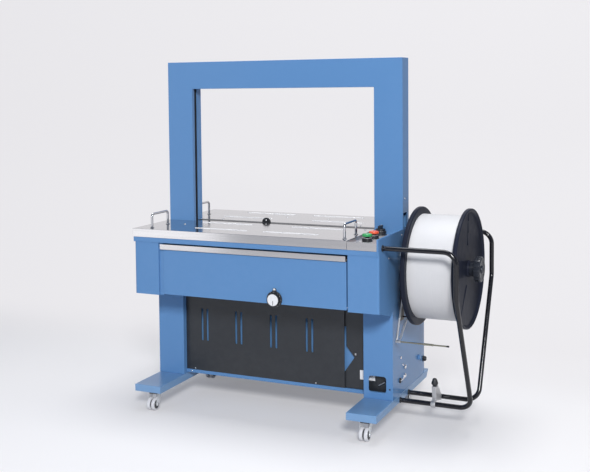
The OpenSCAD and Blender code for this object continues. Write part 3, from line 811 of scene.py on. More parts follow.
@dataclass(frozen=True)
class Plated(Finish):
    """Bright plating with faint clouds and fine scratches."""

    cloud: float = 0.12
    cloud_shade: float = 0.72
    cloud_scale: float = 55.0
    scratch: float = 300.0
    scratch_fine: float = 0.8
    scratch_strength: float = 0.05
    scratch_depth: float = 0.0003

    def build(self) -> bpy.types.Material:
        """Builds the plating.

        Returns:
            Its material.
        """
        surface = Surface(self)
        clouds = surface.noise(surface.vector, self.cloud_scale, 5.0)
        amount = surface.ramp(clouds, (0.35, 0.7), (0.0, self.cloud))
        surface.tint(amount, darker(self.colour, self.cloud_shade))
        fine = surface.effect(GroupKind.PEEL, Scale=self.scratch, Fine=self.scratch_fine)
        surface.raise_by(fine[0], self.scratch_strength, self.scratch_depth)
        return surface.material


@dataclass(frozen=True)
class Moulded(Finish):
    """Moulded plastic or rubber with a fine spark texture."""

    texture: float = 900.0
    texture_fine: float = 0.6
    texture_strength: float = 0.12
    texture_depth: float = 0.0004
    scatter: float = 0.0
    scatter_radius: Triple = (0.004, 0.004, 0.004)

    def build(self) -> bpy.types.Material:
        """Builds the plastic.

        Returns:
            Its material.
        """
        surface = Surface(self)
        surface.join(self.scatter, surface.shader["Subsurface Weight"])
        surface.join(self.scatter_radius, surface.shader["Subsurface Radius"])
        fine = surface.effect(GroupKind.PEEL, Scale=self.texture, Fine=self.texture_fine)
        surface.raise_by(fine[0], self.texture_strength, self.texture_depth)
        return surface.material


@dataclass(frozen=True)
class WoundStrap(Finish):
    """Embossed plastic strap wound on a coil about an axis along X."""

    pitch: float = 0.012
    axis_y: float = 0.0
    axis_z: float = 0.642
    shade: float = 0.05
    shade_colour: Triple = (0.6, 0.59, 0.6)
    emboss: Triple = (900.0, 6.0, 1.0)
    emboss_strength: float = 0.05
    emboss_depth: float = 0.0003

    def build(self) -> bpy.types.Material:
        """Builds the change of tone from strap to strap and the fine emboss.

        Returns:
            Its material.
        """
        surface = Surface(self)
        centre = (0.0, -self.axis_y, -self.axis_z)
        centred = surface.node("Mapping", {"Vector": surface.vector, "Location": centre}).outputs[0]
        parts = surface.node("SeparateXYZ", {0: centred}).outputs
        angle = surface.calc("ARCTAN2", parts[2], parts[1])
        slide = surface.calc("ADD", parts[0], surface.calc("MULTIPLY", angle, self.pitch / math.tau))
        strip = surface.calc("FLOOR", surface.calc("MULTIPLY", slide, 1 / self.pitch))
        chance = surface.node("TexWhiteNoise", {"W": strip}, noise_dimensions="1D").outputs[0]
        surface.tint(surface.ramp(chance, (0.0, 1.0), (0.0, self.shade)), self.shade_colour)
        around = surface.node("CombineXYZ", {0: slide, 1: angle}).outputs[0]
        waves = surface.noise(surface.product(around, self.emboss), 1.0, 2.0)
        surface.raise_by(waves, self.emboss_strength, self.emboss_depth)
        return surface.material


class Paints:
    """The machine's finishes."""

    BLUE = PowderCoat(
        "blue_powder_coat", "blue_paint", (0.108, 0.245, 0.48), gloss=0.2, gloss_spread=0.0, drift=0.003,
        specular=0.18, peel=900.0, peel_strength=0.01, edge_sheen=0.02, dust=0.0,
    )
    # a lighter, paler copy of the blue paint for the feet: painted light standing in for the floor's bounce
    # and the pale reflections on their tops and fronts
    FOOT_PAINTED_LIGHT = replace(
        BLUE, name="foot_blue_with_painted_light", colour=(0.165, 0.315, 0.54), gloss=0.3, specular=0.6,
        peel_strength=0.02,
    )
    BLACK = PowderCoat(
        "black_powder_coat", "black_paint", (0.014, 0.017, 0.022), gloss=0.4, peel=650.0, edge_sheen=0.12,
        edge_sheen_colour=(0.12, 0.12, 0.13), dust=0.05,
    )
    TUBE = PowderCoat(
        "gloss_black_tube", "black_paint", (0.005, 0.005, 0.008), gloss=0.14, coat=0.25, specular=0.35,
        peel=180.0, peel_strength=0.04, edge_sheen=0.1, edge_sheen_colour=(0.1, 0.1, 0.11), dust=0.03,
    )
    STEEL = DrawnMetal(
        "brushed_stainless", "steel_plate", (0.57, 0.56, 0.565), metallic=1.0, gloss=0.13, streak=0.04,
        grain_strength=0.015,
    )
    DECK = DrawnMetal(
        "polished_deck", "black_plastic", (0.7, 0.69, 0.7), metallic=0.45, gloss=0.24, streak=0.04,
        grain_strength=0.03,
    )
    OLIVE = Plated("olive_passivate", "zinc", (0.33, 0.32, 0.25), metallic=0.9, gloss=0.35, cloud=0.2)
    ZINC = Plated("bright_zinc", "zinc", (0.62, 0.63, 0.65), metallic=1.0, gloss=0.3)
    CAST = Plated("satin_cast_alloy", "zinc", (0.55, 0.55, 0.56), metallic=0.85, gloss=0.42, cloud=0.3)
    CHROME = Plated("polished_chrome", "chrome", (0.78, 0.78, 0.8), metallic=1.0, gloss=0.09, cloud=0.04)
    # a darker copy of the chrome for the lift handles: painted shade standing in for the darker reflections
    # that they show
    HANDLE_SHADED_CHROME = replace(CHROME, name="chrome_with_painted_shade", colour=(0.52, 0.52, 0.54), gloss=0.08)
    PLASTIC = Moulded("black_moulding", "black_plastic", (0.018, 0.019, 0.022), gloss=0.38)
    REEL = Moulded(
        "reel_moulding", "black_plastic", (0.016, 0.019, 0.032), gloss=0.36, specular=0.06, texture=500.0,
        texture_strength=0.02,
    )
    NUT = replace(REEL, name="nut_moulding", colour=(0.024, 0.028, 0.038), gloss=0.24, specular=0.4)
    WHITE = Moulded("white_moulding", "white_strip", (0.78, 0.78, 0.79), gloss=0.3, texture_strength=0.04)
    GLIDE = Moulded("glide_nylon", "white_strip", (0.9, 0.9, 0.91), gloss=0.45, texture_strength=0.02)
    FORK = Plated("pressed_fork_steel", "chrome", (0.74, 0.76, 0.78), metallic=0.4, gloss=0.25, cloud=0.15)
    HUB = Moulded("grey_hub", "tyre", (0.05, 0.052, 0.06), gloss=0.35, texture_strength=0.05)
    GREEN = Moulded("green_moulding", "green_cap", (0.035, 0.33, 0.1), gloss=0.22, texture_strength=0.03)
    RED = replace(GREEN, name="orange_red_moulding", slot="red_cap", colour=(0.8, 0.11, 0.045))
    STRAP = WoundStrap("wound_strap", "strap", (0.63, 0.625, 0.635), gloss=0.5, drift=0.01)
    GROUND = DrawnMetal(
        "ground_steel", "machined", (0.5, 0.5, 0.51), metallic=1.0, gloss=0.3, stretch=(500.0, 12.0, 500.0)
    )
    RUBBER = Moulded("black_rubber", "rubber", (0.02, 0.02, 0.02), gloss=0.6, texture_strength=0.3)
    TYRE = Moulded("pale_nylon", "tyre", (0.72, 0.72, 0.75), gloss=0.28, texture_strength=0.05, scatter=0.1)
    MOTOR = PowderCoat(
        "motor_enamel", "motor_grey", (0.06, 0.065, 0.07), gloss=0.35, edge_sheen=0.3, edge_sheen_colour=(0.3, 0.3, 0.31)
    )
    CABINET = PowderCoat(
        "cabinet_enamel", "box_grey", (0.5, 0.5, 0.48), gloss=0.4, edge_sheen=0.1, edge_sheen_colour=(0.8, 0.8, 0.8)
    )


@dataclass
class PaintShop:
    """Keeps one material for each finish."""

    made: dict[str, bpy.types.Material] = field(default_factory=dict)

    def material(self, finish: Finish) -> bpy.types.Material:
        """The material of a finish, built at its first use.

        Args:
            finish: the finish.

        Returns:
            Its material.
        """
        if finish.name not in self.made:
            self.made[finish.name] = finish.build()
        return self.made[finish.name]


PAINT_SHOP = PaintShop()


def make_piece(
    name: str,
    shape: Shape,
    finish: Finish,
    body: Body | str,
    stands_for: Sequence[str] = (),
    limit_deg: float = 50.0,
) -> None:
    """Turns a shape into a piece that rides on a body.

    Args:
        name: the piece's name.
        shape: its shape, which is freed.
        finish: its finish.
        body: the body that carries it.
        stands_for: the frame nodes that it replaces.
        limit_deg: the angle past which its faces look creased.
    """
    mesh = shape.mesh
    bmesh.ops.transform(mesh, matrix=Matrix.Translation(DATUM) @ Matrix.Scale(MM, 4), verts=mesh.verts)
    data = bpy.data.meshes.new(name)
    mesh.to_mesh(data)
    mesh.free()
    data.update()
    face_weighted_normals(data, limit_deg)
    data.materials.append(PAINT_SHOP.material(finish))
    piece = bpy.data.objects.new(name, data)
    bpy.context.scene.collection.objects.link(piece)
    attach(piece, body.value if isinstance(body, Body) else body)
    if stands_for:
        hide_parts(*stands_for)
    log.info("%s: %d faces", name, len(data.polygons))


def node_body(node: str) -> str:
    """The name of the body that a frame node belongs to."""
    return frame["nodes"][node]["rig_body"]


# ---------------------------------------------------------------- sheet metal and other carried shapes


@dataclass(frozen=True)
class Pressing:
    """A frame node whose shape is kept, with its edges rounded."""

    node: str
    finish: Finish
    fold: float = 2.0
    rim: float = 0.5

    def build(self) -> None:
        """Builds the rounded copy and lets it stand for the node."""
        shape = from_node(self.node, self.fold, self.rim)
        make_piece(self.node + "_formed", shape, self.finish, node_body(self.node), [self.node])


@dataclass
class SheetMetal:
    """The covers, panels, table plates, stand and arch, which are bent from sheet."""

    pressings: tuple[Pressing, ...] = (
        Pressing("arch_housing", Paints.BLUE, 3.0, 0.6),
        Pressing("left_cover", Paints.BLUE),
        Pressing("right_cover", Paints.BLUE),
        Pressing("rear_panel", Paints.BLUE, 1.0),
        Pressing("body_pan", Paints.BLUE, 1.0),
        Pressing("table_frame", Paints.BLUE, 1.0),
        Pressing("service_flap", Paints.BLUE, 2.0),
        Pressing("left_upright", Paints.BLUE, 2.5),
        Pressing("right_upright", Paints.BLUE, 2.5),
        Pressing("left_foot", Paints.FOOT_PAINTED_LIGHT, 2.5),
        Pressing("right_foot", Paints.FOOT_PAINTED_LIGHT, 2.5),
        Pressing("cross_rails", Paints.BLUE, 2.0),
        Pressing("pool_rear_panel", Paints.BLUE, 1.0),
        Pressing("pool_front_panel", Paints.BLACK, 1.0),
        Pressing("recess_panel", Paints.BLACK, 1.0),
        Pressing("arch_track", Paints.BLACK, 0.5, 0.4),
        Pressing("dancer_bracket", Paints.BLACK, 1.0),
        Pressing("front_table_plate", Paints.STEEL, 1.8),
        Pressing("rear_table_plate", Paints.STEEL, 1.8),
        Pressing("operator_lip", Paints.STEEL, 1.5),
        Pressing("flap_grip", Paints.STEEL, 1.2, 0.3),
        Pressing("strap_track", Paints.PLASTIC, 0.5, 0.4),
        Pressing("operator_panel", Paints.DECK, 1.0),
        Pressing("caster_plates", Paints.ZINC, 0.8),
        Pressing("hinge_rod", Paints.ZINC, 0.4, 0.4),
        Pressing("reel_spindle", Paints.ZINC, 1.0, 0.6),
        Pressing("sealing_head", Paints.GROUND, 1.0),
        Pressing("control_box", Paints.CABINET, 2.0, 1.0),
    )

    def build(self) -> None:
        """Builds every pressing."""
        for pressing in self.pressings:
            pressing.build()


# ---------------------------------------------------------------- table fittings


@dataclass
class TableFittings:
    """Lift handles, glide strips and plate screws of the two loose table plates."""

    top: float = 780.0
    handle_radius: float = 5.0
    handle_height: float = 58.0
    handle_bend: float = 12.0
    handle_x: Pair = (-476.0, 396.0)
    front_handle: Pair = (-300.0, 125.0)
    rear_handle: Pair = (70.0, 120.0)
    glide_length: float = 245.0
    glide_half: float = 4.5
    glide_height: float = 1.5
    pin_inset: float = 9.0
    front_rows: tuple[tuple[float, Pair], ...] = ((-73.0, (-361.0, 69.0)), (-238.0, (-304.0, 15.0)))
    rear_rows: tuple[tuple[float, Pair], ...] = ((142.0, (-370.0, 70.0)), (300.0, (-327.0, 10.0)))
    front_screws: tuple[Pair, ...] = ((-405.0, -150.0), (385.0, -40.0))
    rear_screws: tuple[Pair, ...] = ((-330.0, 60.0), (330.0, 60.0), (-80.0, 210.0), (120.0, 210.0))

    def handles(self, name: str, node: str, place: Pair) -> None:
        """Builds two bent rod handles with their collars.

        Args:
            name: the piece's name.
            node: the node that it stands for.
            place: the near end's Y and the handle's length.
        """
        shape = Shape()
        start, end, high = place[0], place[0] + place[1], self.top + self.handle_height
        collar = [(0, 5.2), (0, 8.4), (0.8, 9.0), (1.8, 9.0), (2.4, 8.2), (2.4, 5.2)]
        for x in self.handle_x:
            corners = [(x, start, self.top), (x, start, high), (x, end, high), (x, end, self.top)]
            shape.tube(rounded_path(corners, self.handle_bend, 10), self.handle_radius, 24)
            for y in (start, end):
                shape.turned(collar, (x, y, self.top), UP, 32)
        make_piece(name, shape, Paints.HANDLE_SHADED_CHROME, node_body(node), [node])

    def glides(self, name: str, node: str, rows: Sequence[tuple[float, Pair]]) -> None:
        """Builds the round-ended white strips that the load slides on, and the pins in their ends.

        Args:
            name: the piece's name.
            node: the node that it stands for.
            rows: the Y of each row and the left ends of its strips.
        """
        strips, pins = Shape(), Shape()
        half, high = self.glide_half, self.top + self.glide_height
        pin = [(0, 2.6), (0.25, 2.6), (0.3, 2.2), (0.1, 0)]
        for y, starts in rows:
            for start in starts:
                end = start + self.glide_length
                outline = arc((end - half, y), half, -90, 180, 10) + arc((start + half, y), half, 90, 180, 10)
                strips.prism(outline, Axis.Z, self.top, high, 0.5, 2)
                for x in (start + self.pin_inset, end - self.pin_inset):
                    pins.turned(pin, (x, y, high - 0.2), UP, 16)
        make_piece(name, strips, Paints.GLIDE, node_body(node), [node])
        make_piece(name + "_pins", pins, Paints.PLASTIC, node_body(node))

    def screws(self, name: str, body: Body, places: Sequence[Pair]) -> None:
        """Builds the low screws that hold the strips' carriers under a plate.

        Args:
            name: the piece's name.
            body: the plate's body.
            places: the X and Y of each screw.
        """
        shape = Shape()
        for place in places:
            shape.screw((*place, self.top), UP, 4.0)
        make_piece(name, shape, Paints.ZINC, body)

    def build(self) -> None:
        """Builds every fitting."""
        self.handles("front_handle_rods", "front_handles", self.front_handle)
        self.handles("rear_handle_rods", "rear_handles", self.rear_handle)
        self.glides("front_glide_strips", "front_glides", self.front_rows)
        self.glides("rear_glide_strips", "rear_glides", self.rear_rows)
        self.screws("front_plate_screws", Body.FRONT_TABLE, self.front_screws)
        self.screws("rear_plate_screws", Body.REAR_TABLE, self.rear_screws)


# ---------------------------------------------------------------- operator panel


@dataclass
class Controls:
    """The start and stop buttons, the main switch and the lamps on the operator panel."""

    x: float = 468.0
    start_y: float = -243.0
    stop_y: float = -166.0
    switch: Pair = (460.0, -64.0)
    deck: float = 766.0
    bezel: float = 15.0
    cap_radius: float = 20.0
    lamps: tuple[Pair, ...] = ((508.0, -76.0), (508.0, -100.0))
    screws: tuple[Pair, ...] = ((432.0, -318.0), (535.0, -318.0), (432.0, -120.0), (535.0, -205.0))

    def button(self, name: str, node: str, y: float, finish: Finish) -> None:
        """Builds a mushroom cap with a dished top and its stem.

        Args:
            name: the piece's name.
            node: the node that it stands for.
            y: where it stands.
            finish: the cap's finish.
        """
        cap, stem = Shape(), Shape()
        place = (self.x, y, self.deck)
        low, r = self.bezel + 5.0, self.cap_radius
        profile = [
            (low, 0), (low, r - 2.5), (low + 0.8, r - 0.8), (low + 2.2, r), (low + 7.0, r),
            (low + 9.4, r - 0.9), (low + 10.6, r - 3.0), (low + 10.8, r - 5.5), (low + 10.2, r - 9.0),
            (low + 9.6, 4.0), (low + 9.5, 0),
        ]
        cap.turned(profile, place, UP, 64)
        make_piece(name, cap, finish, node_body(node), [node])
        stem.turned([(2, 0), (2, 8), (low, 8), (low, 11), (low + 0.6, 11), (low + 0.6, 0)], place, UP, 40)
        make_piece(name + "_stem", stem, Paints.PLASTIC, node_body(node))

    def main_switch(self) -> None:
        """Builds the rotary switch's dial, its finger bar and the white mark on the bar."""
        dial, mark = Shape(), Shape()
        x, y = self.switch
        low = self.bezel + 2.3
        high = low + 8.0
        profile = [
            (6, 0), (6, 8), (low, 8), (low, 19), (low + 0.8, 20), (high - 1.5, 20), (high, 18.5), (high, 0),
        ]
        dial.turned(profile, (x, y, self.deck), UP, 64)
        near, far, top = y - 18.5, y + 19.5, self.deck + high
        bar = [(x - 5, near), (x + 5, near), (x + 6.2, y), (x + 5, far), (x - 5, far), (x - 6.2, y)]
        dial.prism(bar, Axis.Z, top - 0.5, top + 13.5, 1.4, 3)
        make_piece("main_switch_dial", dial, Paints.PLASTIC, Body.SWITCH, ["main_switch"])
        mark.block((x - 0.9, y + 4, top + 13.3), (x + 0.9, y + 17, top + 13.75), 0.15, 1)
        make_piece("main_switch_mark", mark, Paints.WHITE, Body.SWITCH)

    def panel_trim(self) -> None:
        """Builds the stepped collars under the caps, the lamps and the panel screws."""
        collars, lamps, screws = Shape(), Shape(), Shape()
        small = [
            (0, 18.9), (0, 20.6), (1.2, 21), (3, 21), (3.4, 19.7), (12, 19.5), (13.6, 19.2), (15.3, 17),
            (15.3, 10),
        ]
        for y in (self.start_y, self.stop_y):
            collars.turned(small, (self.x, y, self.deck), UP, 56)
        large = [(0, 23.1), (0, 26), (1.5, 26.5), (3, 25), (3.6, 23.8), (16, 23.6), (17.2, 22.6), (17.2, 12)]
        collars.turned(large, (*self.switch, self.deck), UP, 56)
        make_piece("control_collars", collars, Paints.PLASTIC, Body.MACHINE)
        lens = [(2.8, 0), (2.8, 3.6), (4.6, 3.4), (6.0, 2.3), (6.6, 0)]
        for place in self.lamps:
            lamps.turned(lens, (*place, self.deck), UP, 24)
        make_piece("panel_lamps", lamps, Paints.WHITE, Body.MACHINE)
        for place in self.screws:
            screws.screw((*place, self.deck), UP, 3.2)
        make_piece("panel_screws", screws, Paints.ZINC, Body.MACHINE)

    def build(self) -> None:
        """Builds the controls."""
        self.button("start_cap", "start_button", self.start_y, Paints.GREEN)
        self.button("stop_cap", "stop_button", self.stop_y, Paints.RED)
        self.main_switch()
        self.panel_trim()


# ---------------------------------------------------------------- tension dial


@dataclass
class TensionDial:
    """The ring on the flap with its index tab, and the knob with a white face that turns on it."""

    x: float = 112.0
    z: float = 529.0
    flap_face: float = -336.0
    ring: float = 33.0
    ring_depth: float = 8.0
    knob: float = 25.0
    knob_depth: float = 12.0
    clearance: float = 0.3
    tab_depth: float = 4.0
    tab_rise: float = 11.0
    marks: int = 11
    first_mark_deg: float = -150.0
    mark_step_deg: float = 30.0

    @property
    def centre(self) -> Vector:
        """The middle of the dial on the flap's face."""
        return Vector((self.x, self.flap_face, self.z))

    def ring_parts(self) -> None:
        """Builds the fixed ring with its index tab, and the white marks on both."""
        ring, marks = Shape(), Shape()
        x, r, deep = self.x, self.ring, self.ring_depth
        profile = [
            (0, 4.2), (0, r - 0.8), (0.8, r), (deep - 1.4, r), (deep - 0.4, r - 0.8), (deep, r - 2.2),
            (deep, 4.2), (0, 4.2),
        ]
        ring.turned(profile, self.centre, FRONT, 72)
        low, high = self.z + r - 5, self.z + r + self.tab_rise
        face = self.flap_face - self.tab_depth
        tab = [(x - 10, low), (x + 10, low), (x + 6, high), (x - 6, high)]
        ring.prism(tab, Axis.Y, face, self.flap_face, 0.8, 2)
        make_piece("tension_ring", ring, Paints.PLASTIC, Body.FLAP, ["tension_dial"])
        for i in range(self.marks):
            a = math.radians(self.first_mark_deg + self.mark_step_deg * i)
            way = Vector((math.sin(a), 0, math.cos(a)))
            foot = self.centre + FRONT * (deep - 0.2) + way * (r - 5.0)
            marks.rod(foot, foot + way * 2.6, 0.45, 0.1, 8)
        high -= 0.6
        index = [(x - 5.4, high - 7), (x + 5.4, high - 7), (x + 4.4, high), (x - 4.4, high)]
        marks.prism(index, Axis.Y, face - 0.4, face + 0.2, 0.2, 1)
        make_piece("tension_marks", marks, Paints.WHITE, Body.FLAP)

    def knob_parts(self) -> None:
        """Builds the turning skirt, the white cap with its bearing and the pointer."""
        skirt, cap, pointer = Shape(), Shape(), Shape()
        k, low = self.knob, self.ring_depth + self.clearance
        top = low + self.knob_depth
        profile = [
            (low, 22), (low, k - 0.8), (low + 0.8, k), (top - 1.8, k), (top - 0.9, k - 0.5),
            (top - 0.4, k - 1.2), (top - 0.6, 22), (low, 22),
        ]
        skirt.turned(profile, self.centre, FRONT, 72)
        make_piece("tension_knob_skirt", skirt, Paints.PLASTIC, Body.TENSION)
        face = top - 0.2
        profile = [(low + 0.4, 4), (low + 0.4, 21.8), (top - 0.8, k - 1.4), (face, k - 1.9), (face, 0)]
        cap.turned(profile, self.centre, FRONT, 72)
        cap.rod(self.centre + FRONT * (low + 1), self.centre + BACK * 5.5, 4.0, 0.4)
        make_piece("tension_knob_cap", cap, Paints.WHITE, Body.TENSION, ["tension_knob"])
        near = self.flap_face - top
        pointer.block((self.x - 1.2, near, self.z - 21), (self.x + 1.2, near + 0.8, self.z - 3), 0.1, 1)
        make_piece("tension_pointer", pointer, Paints.MOTOR, Body.TENSION)

    def build(self) -> None:
        """Builds the dial."""
        self.ring_parts()
        self.knob_parts()


# ---------------------------------------------------------------- strap reel


@dataclass
class StrapReel:
    """The two flanges, the core, the coil of strap and the hub nut."""

    y: float = -8.0
    z: float = 642.0
    coil_x: Pair = (618.0, 800.0)
    flange: float = 239.0
    coil: float = 210.0
    core: float = 100.0
    shaft: float = 12.5
    rim: float = 18.0
    windings: int = 15
    web: float = 9.0
    broad_spokes: Triple = (8.0, 98.0, 278.0)
    flared_spoke: float = 196.0
    nut_ridges: int = 16

    def centre(self, x: float) -> Vector:
        """The point of the reel's axis at a station along it."""
        return Vector((x, self.y, self.z))

    def spoke(
        self, shape: Shape, place: Matrix, lean_deg: float, steps: Sequence[Pair], widths: Pair
    ) -> None:
        """Adds one broad spoke, whose face falls towards the rim in one or more steps.

        Args:
            shape: the flange's shape.
            place: the flange's placement, which mirrors it where its dish opens towards -X.
            lean_deg: the spoke's angle from straight up, towards +Y.
            steps: the inner and outer radius of each step.
            widths: half the spoke's width at its inner and its outer end.
        """
        web = self.web
        start, end = steps[0][0], steps[-1][1]
        outline: list[Pair] = [(web - 0.5, end), (web - 0.5, start)]
        for inner, outer in steps:
            outline += [(web + 2.4, inner + 0.6), (web + 0.6, outer - 0.4)]
        part = Shape()
        part.prism(outline, Axis.Y, -1.0, 1.0, 0.0)
        mesh = part.mesh
        for vertex in mesh.verts:
            t = min(max((vertex.co.z - start) / (end - start), 0.0), 1.0)
            flare = 1.0 - max(vertex.co.x - web, 0.0) / 30.0
            vertex.co.y *= (widths[0] + (widths[1] - widths[0]) * t) * flare
        round_edges(mesh, mesh.edges, 0.4, 2)
        lean = Matrix.Rotation(math.radians(-lean_deg), 4, "X")
        bmesh.ops.transform(mesh, matrix=place @ lean, verts=mesh.verts)
        bmesh.ops.recalc_face_normals(mesh, faces=mesh.faces)
        shape.take(mesh)

    def dish(self, name: str, node: str, face: float, way: float) -> None:
        """Builds a flange with a thick rim, a hub boss and four spokes.

        Args:
            name: the piece's name.
            node: the node that it stands for.
            face: the X of the face that touches the coil.
            way: 1 where the dish opens towards +X, and -1 where it opens towards -X.
        """
        shape = Shape()
        r, hub, rim, web = self.flange, self.shaft + 2, self.rim, self.web
        profile = [
            (0, hub), (0, r - 6), (1.2, r - 2.2), (3.5, r - 0.4), (6, r), (rim - 4, r), (rim - 1.8, r - 0.8),
            (rim - 0.4, r - 2.2), (rim, r - 4), (rim, r - 7), (rim - 0.8, r - 9), (web + 2, r - 14),
            (web + 0.5, r - 16), (web, r - 19), (web, 36), (web + 0.8, 34.6), (rim - 1.2, 32.4),
            (rim - 0.2, 31.6), (rim, 30.4), (rim, hub), (0, hub),
        ]
        shape.turned(profile, self.centre(face), RIGHT * way, 120)
        place = Matrix.Translation(self.centre(face)) @ Matrix.Scale(way, 4, RIGHT)
        stepped = ((92.0, 141.0), (141.0, 188.0), (188.0, r - 17))
        for lean in self.broad_spokes:
            self.spoke(shape, place, lean, stepped, (36.0, 38.0))
        self.spoke(shape, place, self.flared_spoke, ((66.0, r - 17),), (18.0, 84.0))
        make_piece(name, shape, Paints.REEL, Body.REEL, [node])

    def strap(self) -> None:
        """Builds the coil, whose edges of strap lie side by side."""
        low, high = self.coil_x
        side, far = self.coil - 3, high - low - 0.3
        pitch = (high - low) / self.windings
        heights = (0.0, -0.2, 0.1, -0.1, 0.05)
        profile: list[Pair] = [(0.3, self.core), (0.3, side)]
        for i in range(self.windings):
            start, end = i * pitch, (i + 1) * pitch
            top = self.coil - 0.4 + heights[i * 7 % len(heights)]
            edge = top - 0.15
            profile += [(start + 0.2, edge), (start + 1.0, top), (end - 1.0, top), (end - 0.2, edge)]
        profile += [(far, side), (far, self.core), (0.3, self.core)]
        shape = Shape()
        shape.turned(profile, self.centre(low), RIGHT, 144)
        make_piece("strap_windings", shape, Paints.STRAP, Body.REEL, ["strap_coil"])

    def hub(self) -> None:
        """Builds the core sleeve and the ridged nut that clamps the outer flange."""
        core, nut = Shape(), Shape()
        low, high = self.coil_x
        bore, outer, length = self.shaft + 0.2, self.core - 0.4, high - low
        sleeve = [(0, bore), (0, outer), (length, outer), (length, bore), (0, bore)]
        core.turned(sleeve, self.centre(low), RIGHT, 96)
        make_piece("reel_core_sleeve", core, Paints.PLASTIC, Body.REEL, ["reel_core"])
        face = self.centre(high + self.rim)
        nut.turned([(0.2, 13), (0.2, 29), (1.2, 30), (20.5, 30), (20.5, 13), (0.2, 13)], face, RIGHT, 72)
        drum = [
            (20, 14), (20, 47), (21, 48), (43, 48), (44.5, 46.8), (46, 44), (45.4, 40), (44.8, 20),
            (45.4, 16.4), (48, 15.6), (49.4, 14.4), (50, 12), (49.4, 8), (48.4, 0),
        ]
        nut.turned(drum, face, RIGHT, 96)
        for i in range(self.nut_ridges):
            a = math.tau * i / self.nut_ridges
            ridge = face + Vector((0, math.cos(a), math.sin(a))) * 47
            nut.rod(ridge + RIGHT * 20.4, ridge + RIGHT * 43.6, 4.3, 1.2, 20)
        make_piece("hub_nut_lobed", nut, Paints.NUT, Body.REEL, ["hub_nut"])

    def build(self) -> None:
        """Builds the reel."""
        self.dish("inner_flange_moulding", "inner_flange", self.coil_x[0], -1.0)
        self.dish("outer_flange_moulding", "outer_flange", self.coil_x[1], 1.0)
        self.strap()
        self.hub()


# ---------------------------------------------------------------- guard tubes, dancer and lever


@dataclass
class ReelGuard:
    """The two bent tubes that fence the reel."""

    reel: StrapReel
    root: float = 548.0
    x: float = 835.0
    top: float = 751.0
    kink: float = 570.0
    low: float = 96.0
    half: float = 288.0
    foot: float = 55.0
    foot_x: float = 541.0
    radius: float = 9.5
    bend: float = 50.0

    def tube(self, name: str, node: str, side: float) -> None:
        """Builds one tube.

        Args:
            name: the piece's name.
            node: the node that it stands for.
            side: -1 for the front tube and 1 for the rear one.
        """
        y_top, y_low = self.reel.y + side * self.half, self.reel.y + side * self.foot
        corners = [
            (self.root, y_top, self.top), (self.x, y_top, self.top), (self.x, y_top, self.kink),
            (self.x, y_low, self.low), (self.foot_x, y_low, self.low),
        ]
        shape = Shape()
        shape.tube(rounded_path(corners, self.bend, 16), self.radius, 32)
        make_piece(name, shape, Paints.TUBE, Body.MACHINE, [node])

    def sockets(self) -> None:
        """Builds the thin collars where the tubes enter the covers and the foot."""
        shape = Shape()
        ring = [(0, 9.6), (0, 12), (0.8, 12.6), (2.6, 12.6), (3.4, 11.8), (3.4, 9.6)]
        for side in (-1, 1):
            shape.turned(ring, (self.root, self.reel.y + side * self.half, self.top), RIGHT, 40)
            shape.turned(ring, (self.foot_x, self.reel.y + side * self.foot, self.low), RIGHT, 40)
        make_piece("guard_sockets", shape, Paints.PLASTIC, Body.MACHINE)

    def build(self) -> None:
        """Builds the guard."""
        self.tube("front_guard_bar", "front_guard_tube", -1.0)
        self.tube("rear_guard_bar", "rear_guard_tube", 1.0)
        self.sockets()


